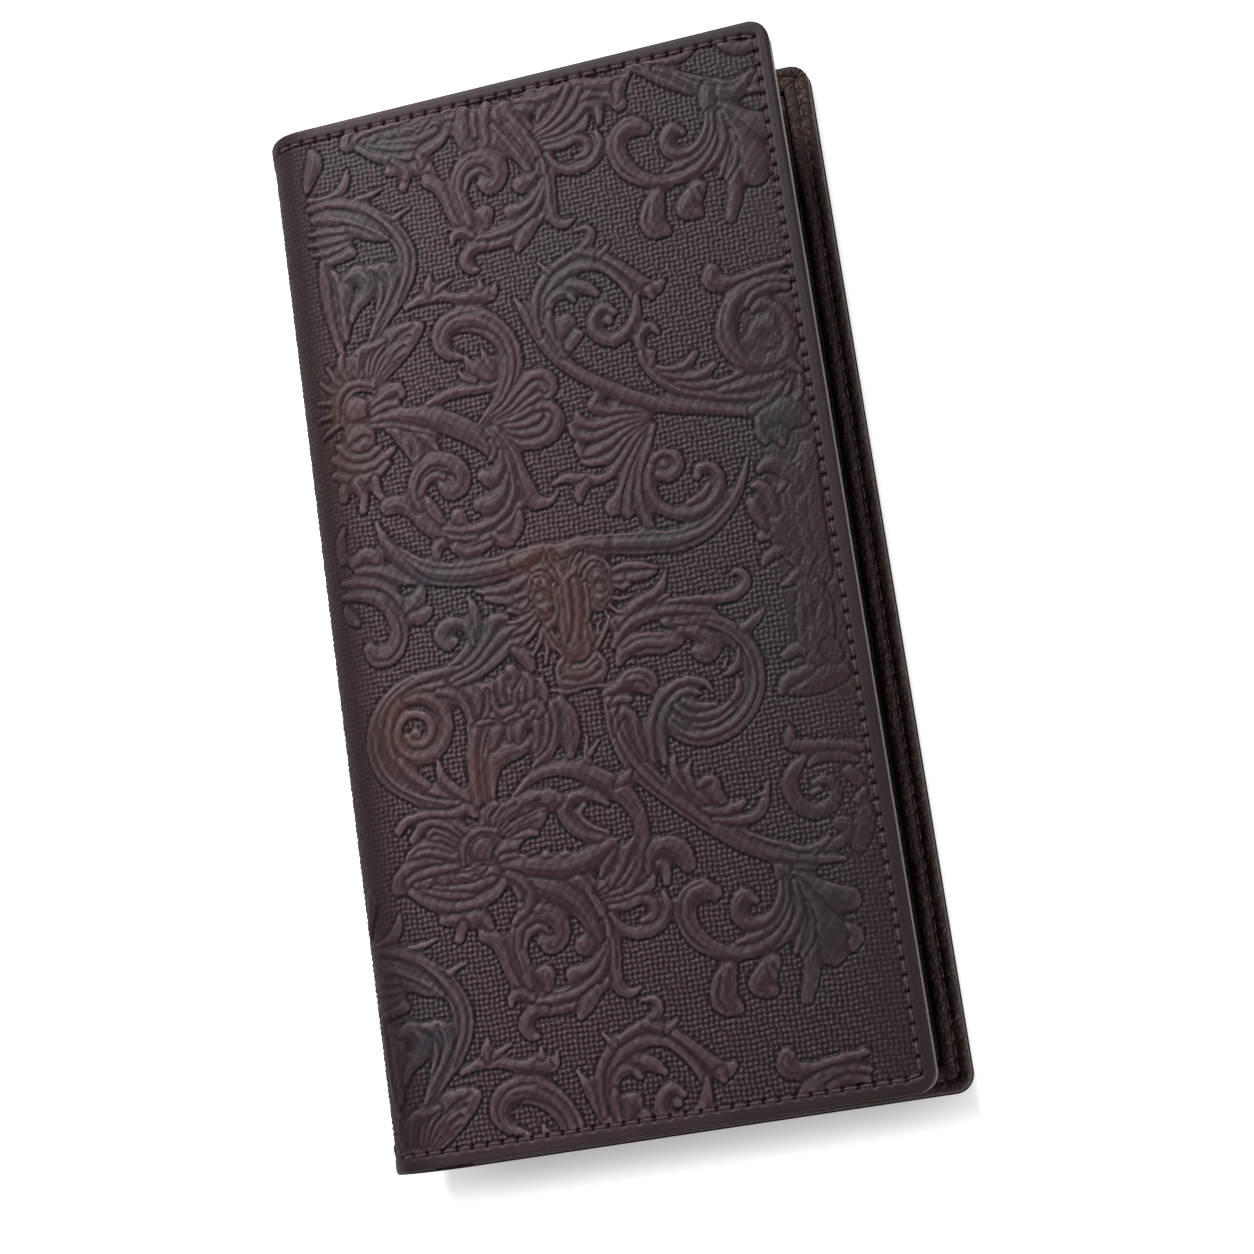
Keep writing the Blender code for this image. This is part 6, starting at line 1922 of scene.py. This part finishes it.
def floor_white(tree):
    """How strongly the floor glows for the camera by its place: fully beside the wallet's right side, far
    below it and far away, which paints over the key's shadow there; less near the wallet; less still right
    below the bottom edge, a painted contact shadow.
    """
    place = place_in_object(tree)
    where = add(tree, "SeparateXYZ", {0: place})
    below = math_node(tree, "MULTIPLY", where.outputs["Y"], -1.0)
    sideways = math_node(tree, "ABSOLUTE", math_node(tree, "ADD", where.outputs["X"], -SHADOW_MIDDLE))
    distance = add(tree, "VectorMath", {0: place}, operation="LENGTH").outputs["Value"]
    # Full glow beside the right side and far below the bottom edge paints over the key's shadow there.
    beside = soft_step(tree, where.outputs["X"], 0.0495, 0.053, 0.0, MORE_WHITE)
    beyond = soft_step(tree, below, BOTTOM_EDGE, BOTTOM_EDGE + 0.012, 0.0, MORE_WHITE)
    far = soft_step(tree, distance, 0.3, 0.7, 0.0, MORE_WHITE)
    # Painted contact shadow: the glow is cut right below the bottom edge.
    painted_contact_shadow = soft_step(tree, below, BOTTOM_EDGE - 0.002, BOTTOM_EDGE + 0.009, CONTACT_SHADE, 0.0)
    under = soft_step(tree, sideways, 0.03, 0.056, 1.0, 0.0)
    whiter = math_node(tree, "MAXIMUM", far, math_node(tree, "MAXIMUM", beside, beyond))
    return math_node(tree, "SUBTRACT", math_node(tree, "ADD", whiter, LEAST_WHITE),
                     math_node(tree, "MULTIPLY", painted_contact_shadow, under))


deselect_all()
bpy.ops.mesh.primitive_plane_add(size=FLOOR_SIZE, location=(0, 0, -FLOOR_DROP))
floor = named("floor")
floor_surface, tree, floor_shader = new_material("floor", 0.6, specular=0.2)
floor_shader.inputs["Base Color"].default_value = FLOOR_COLOUR
floor_shader.inputs["Emission Color"].default_value = WHITE
tree.links.new(math_node(tree, "MULTIPLY", seen_directly(tree), floor_white(tree)),
               floor_shader.inputs["Emission Strength"])
floor.data.materials.append(floor_surface)
print("floor:", FLOOR_SIZE, "m wide")

# %% [markdown]
# ## Light and surroundings
# A large soft light stands beyond the wallet's top end, so the shadow falls softly below the bottom edge.
# The pale surroundings fill, and a low light at the right draws the bright line on the painted edge.

# %% Lights and world
SURROUNDINGS = 0.3


def area_light(name, location, target, size, power):
    data = bpy.data.lights.new(name, "AREA")
    data.shape, data.size, data.size_y = "RECTANGLE", *size
    data.energy = power
    made = new_object(name, data)
    made.location = location
    aim = Vector(target) - Vector(location)
    made.rotation_euler = aim.to_track_quat("-Z", "Y").to_euler()
    return made


area_light("key", location=(-0.44, 0.64, 0.66), target=(-0.02, 0.0, 0.02), size=(0.6, 0.3), power=17.0)
area_light("edge", location=(0.55, -0.35, 0.16), target=(0.02, 0, 0.02), size=(0.35, 0.12), power=3.0)
world = bpy.data.worlds.new("studio")
bpy.context.scene.world = world
world.use_nodes = True
tree = world.node_tree
tree.nodes.clear()
lighting = add(tree, "Background", {"Color": WHITE, "Strength": SURROUNDINGS}).outputs[0]
backdrop = add(tree, "Background", {"Color": WHITE, "Strength": 1.0}).outputs[0]
both = add(tree, "MixShader", {0: seen_directly(tree), 1: lighting, 2: backdrop}).outputs[0]
tree.links.new(both, add(tree, "OutputWorld").inputs["Surface"])
print("lights: key and edge; world strength", SURROUNDINGS)

# %% [markdown]
# ## The camera
# Its place, turn and lens were found by fitting the corners and edges of both halves to the photograph.

# %% Camera
CAMERA_PLACE = (0.07053, -0.11461, 0.5102)
CAMERA_TURN = (-11.569, -8.495, 8.985)
camera_data = bpy.data.cameras.new("camera")
camera_data.lens, camera_data.sensor_width = 83.42, 36.0
camera_data.clip_start, camera_data.clip_end = 0.01, 10.0
camera = new_object("camera", camera_data)
bpy.context.scene.camera = camera
camera.location = CAMERA_PLACE
turn = Vector([math.radians(degrees) for degrees in CAMERA_TURN])
camera.rotation_mode = "QUATERNION"
camera.rotation_quaternion = type(camera.rotation_quaternion)(turn.normalized(), -turn.length)
bpy.context.scene.view_settings.view_transform = "Standard"
print("camera at", CAMERA_PLACE)
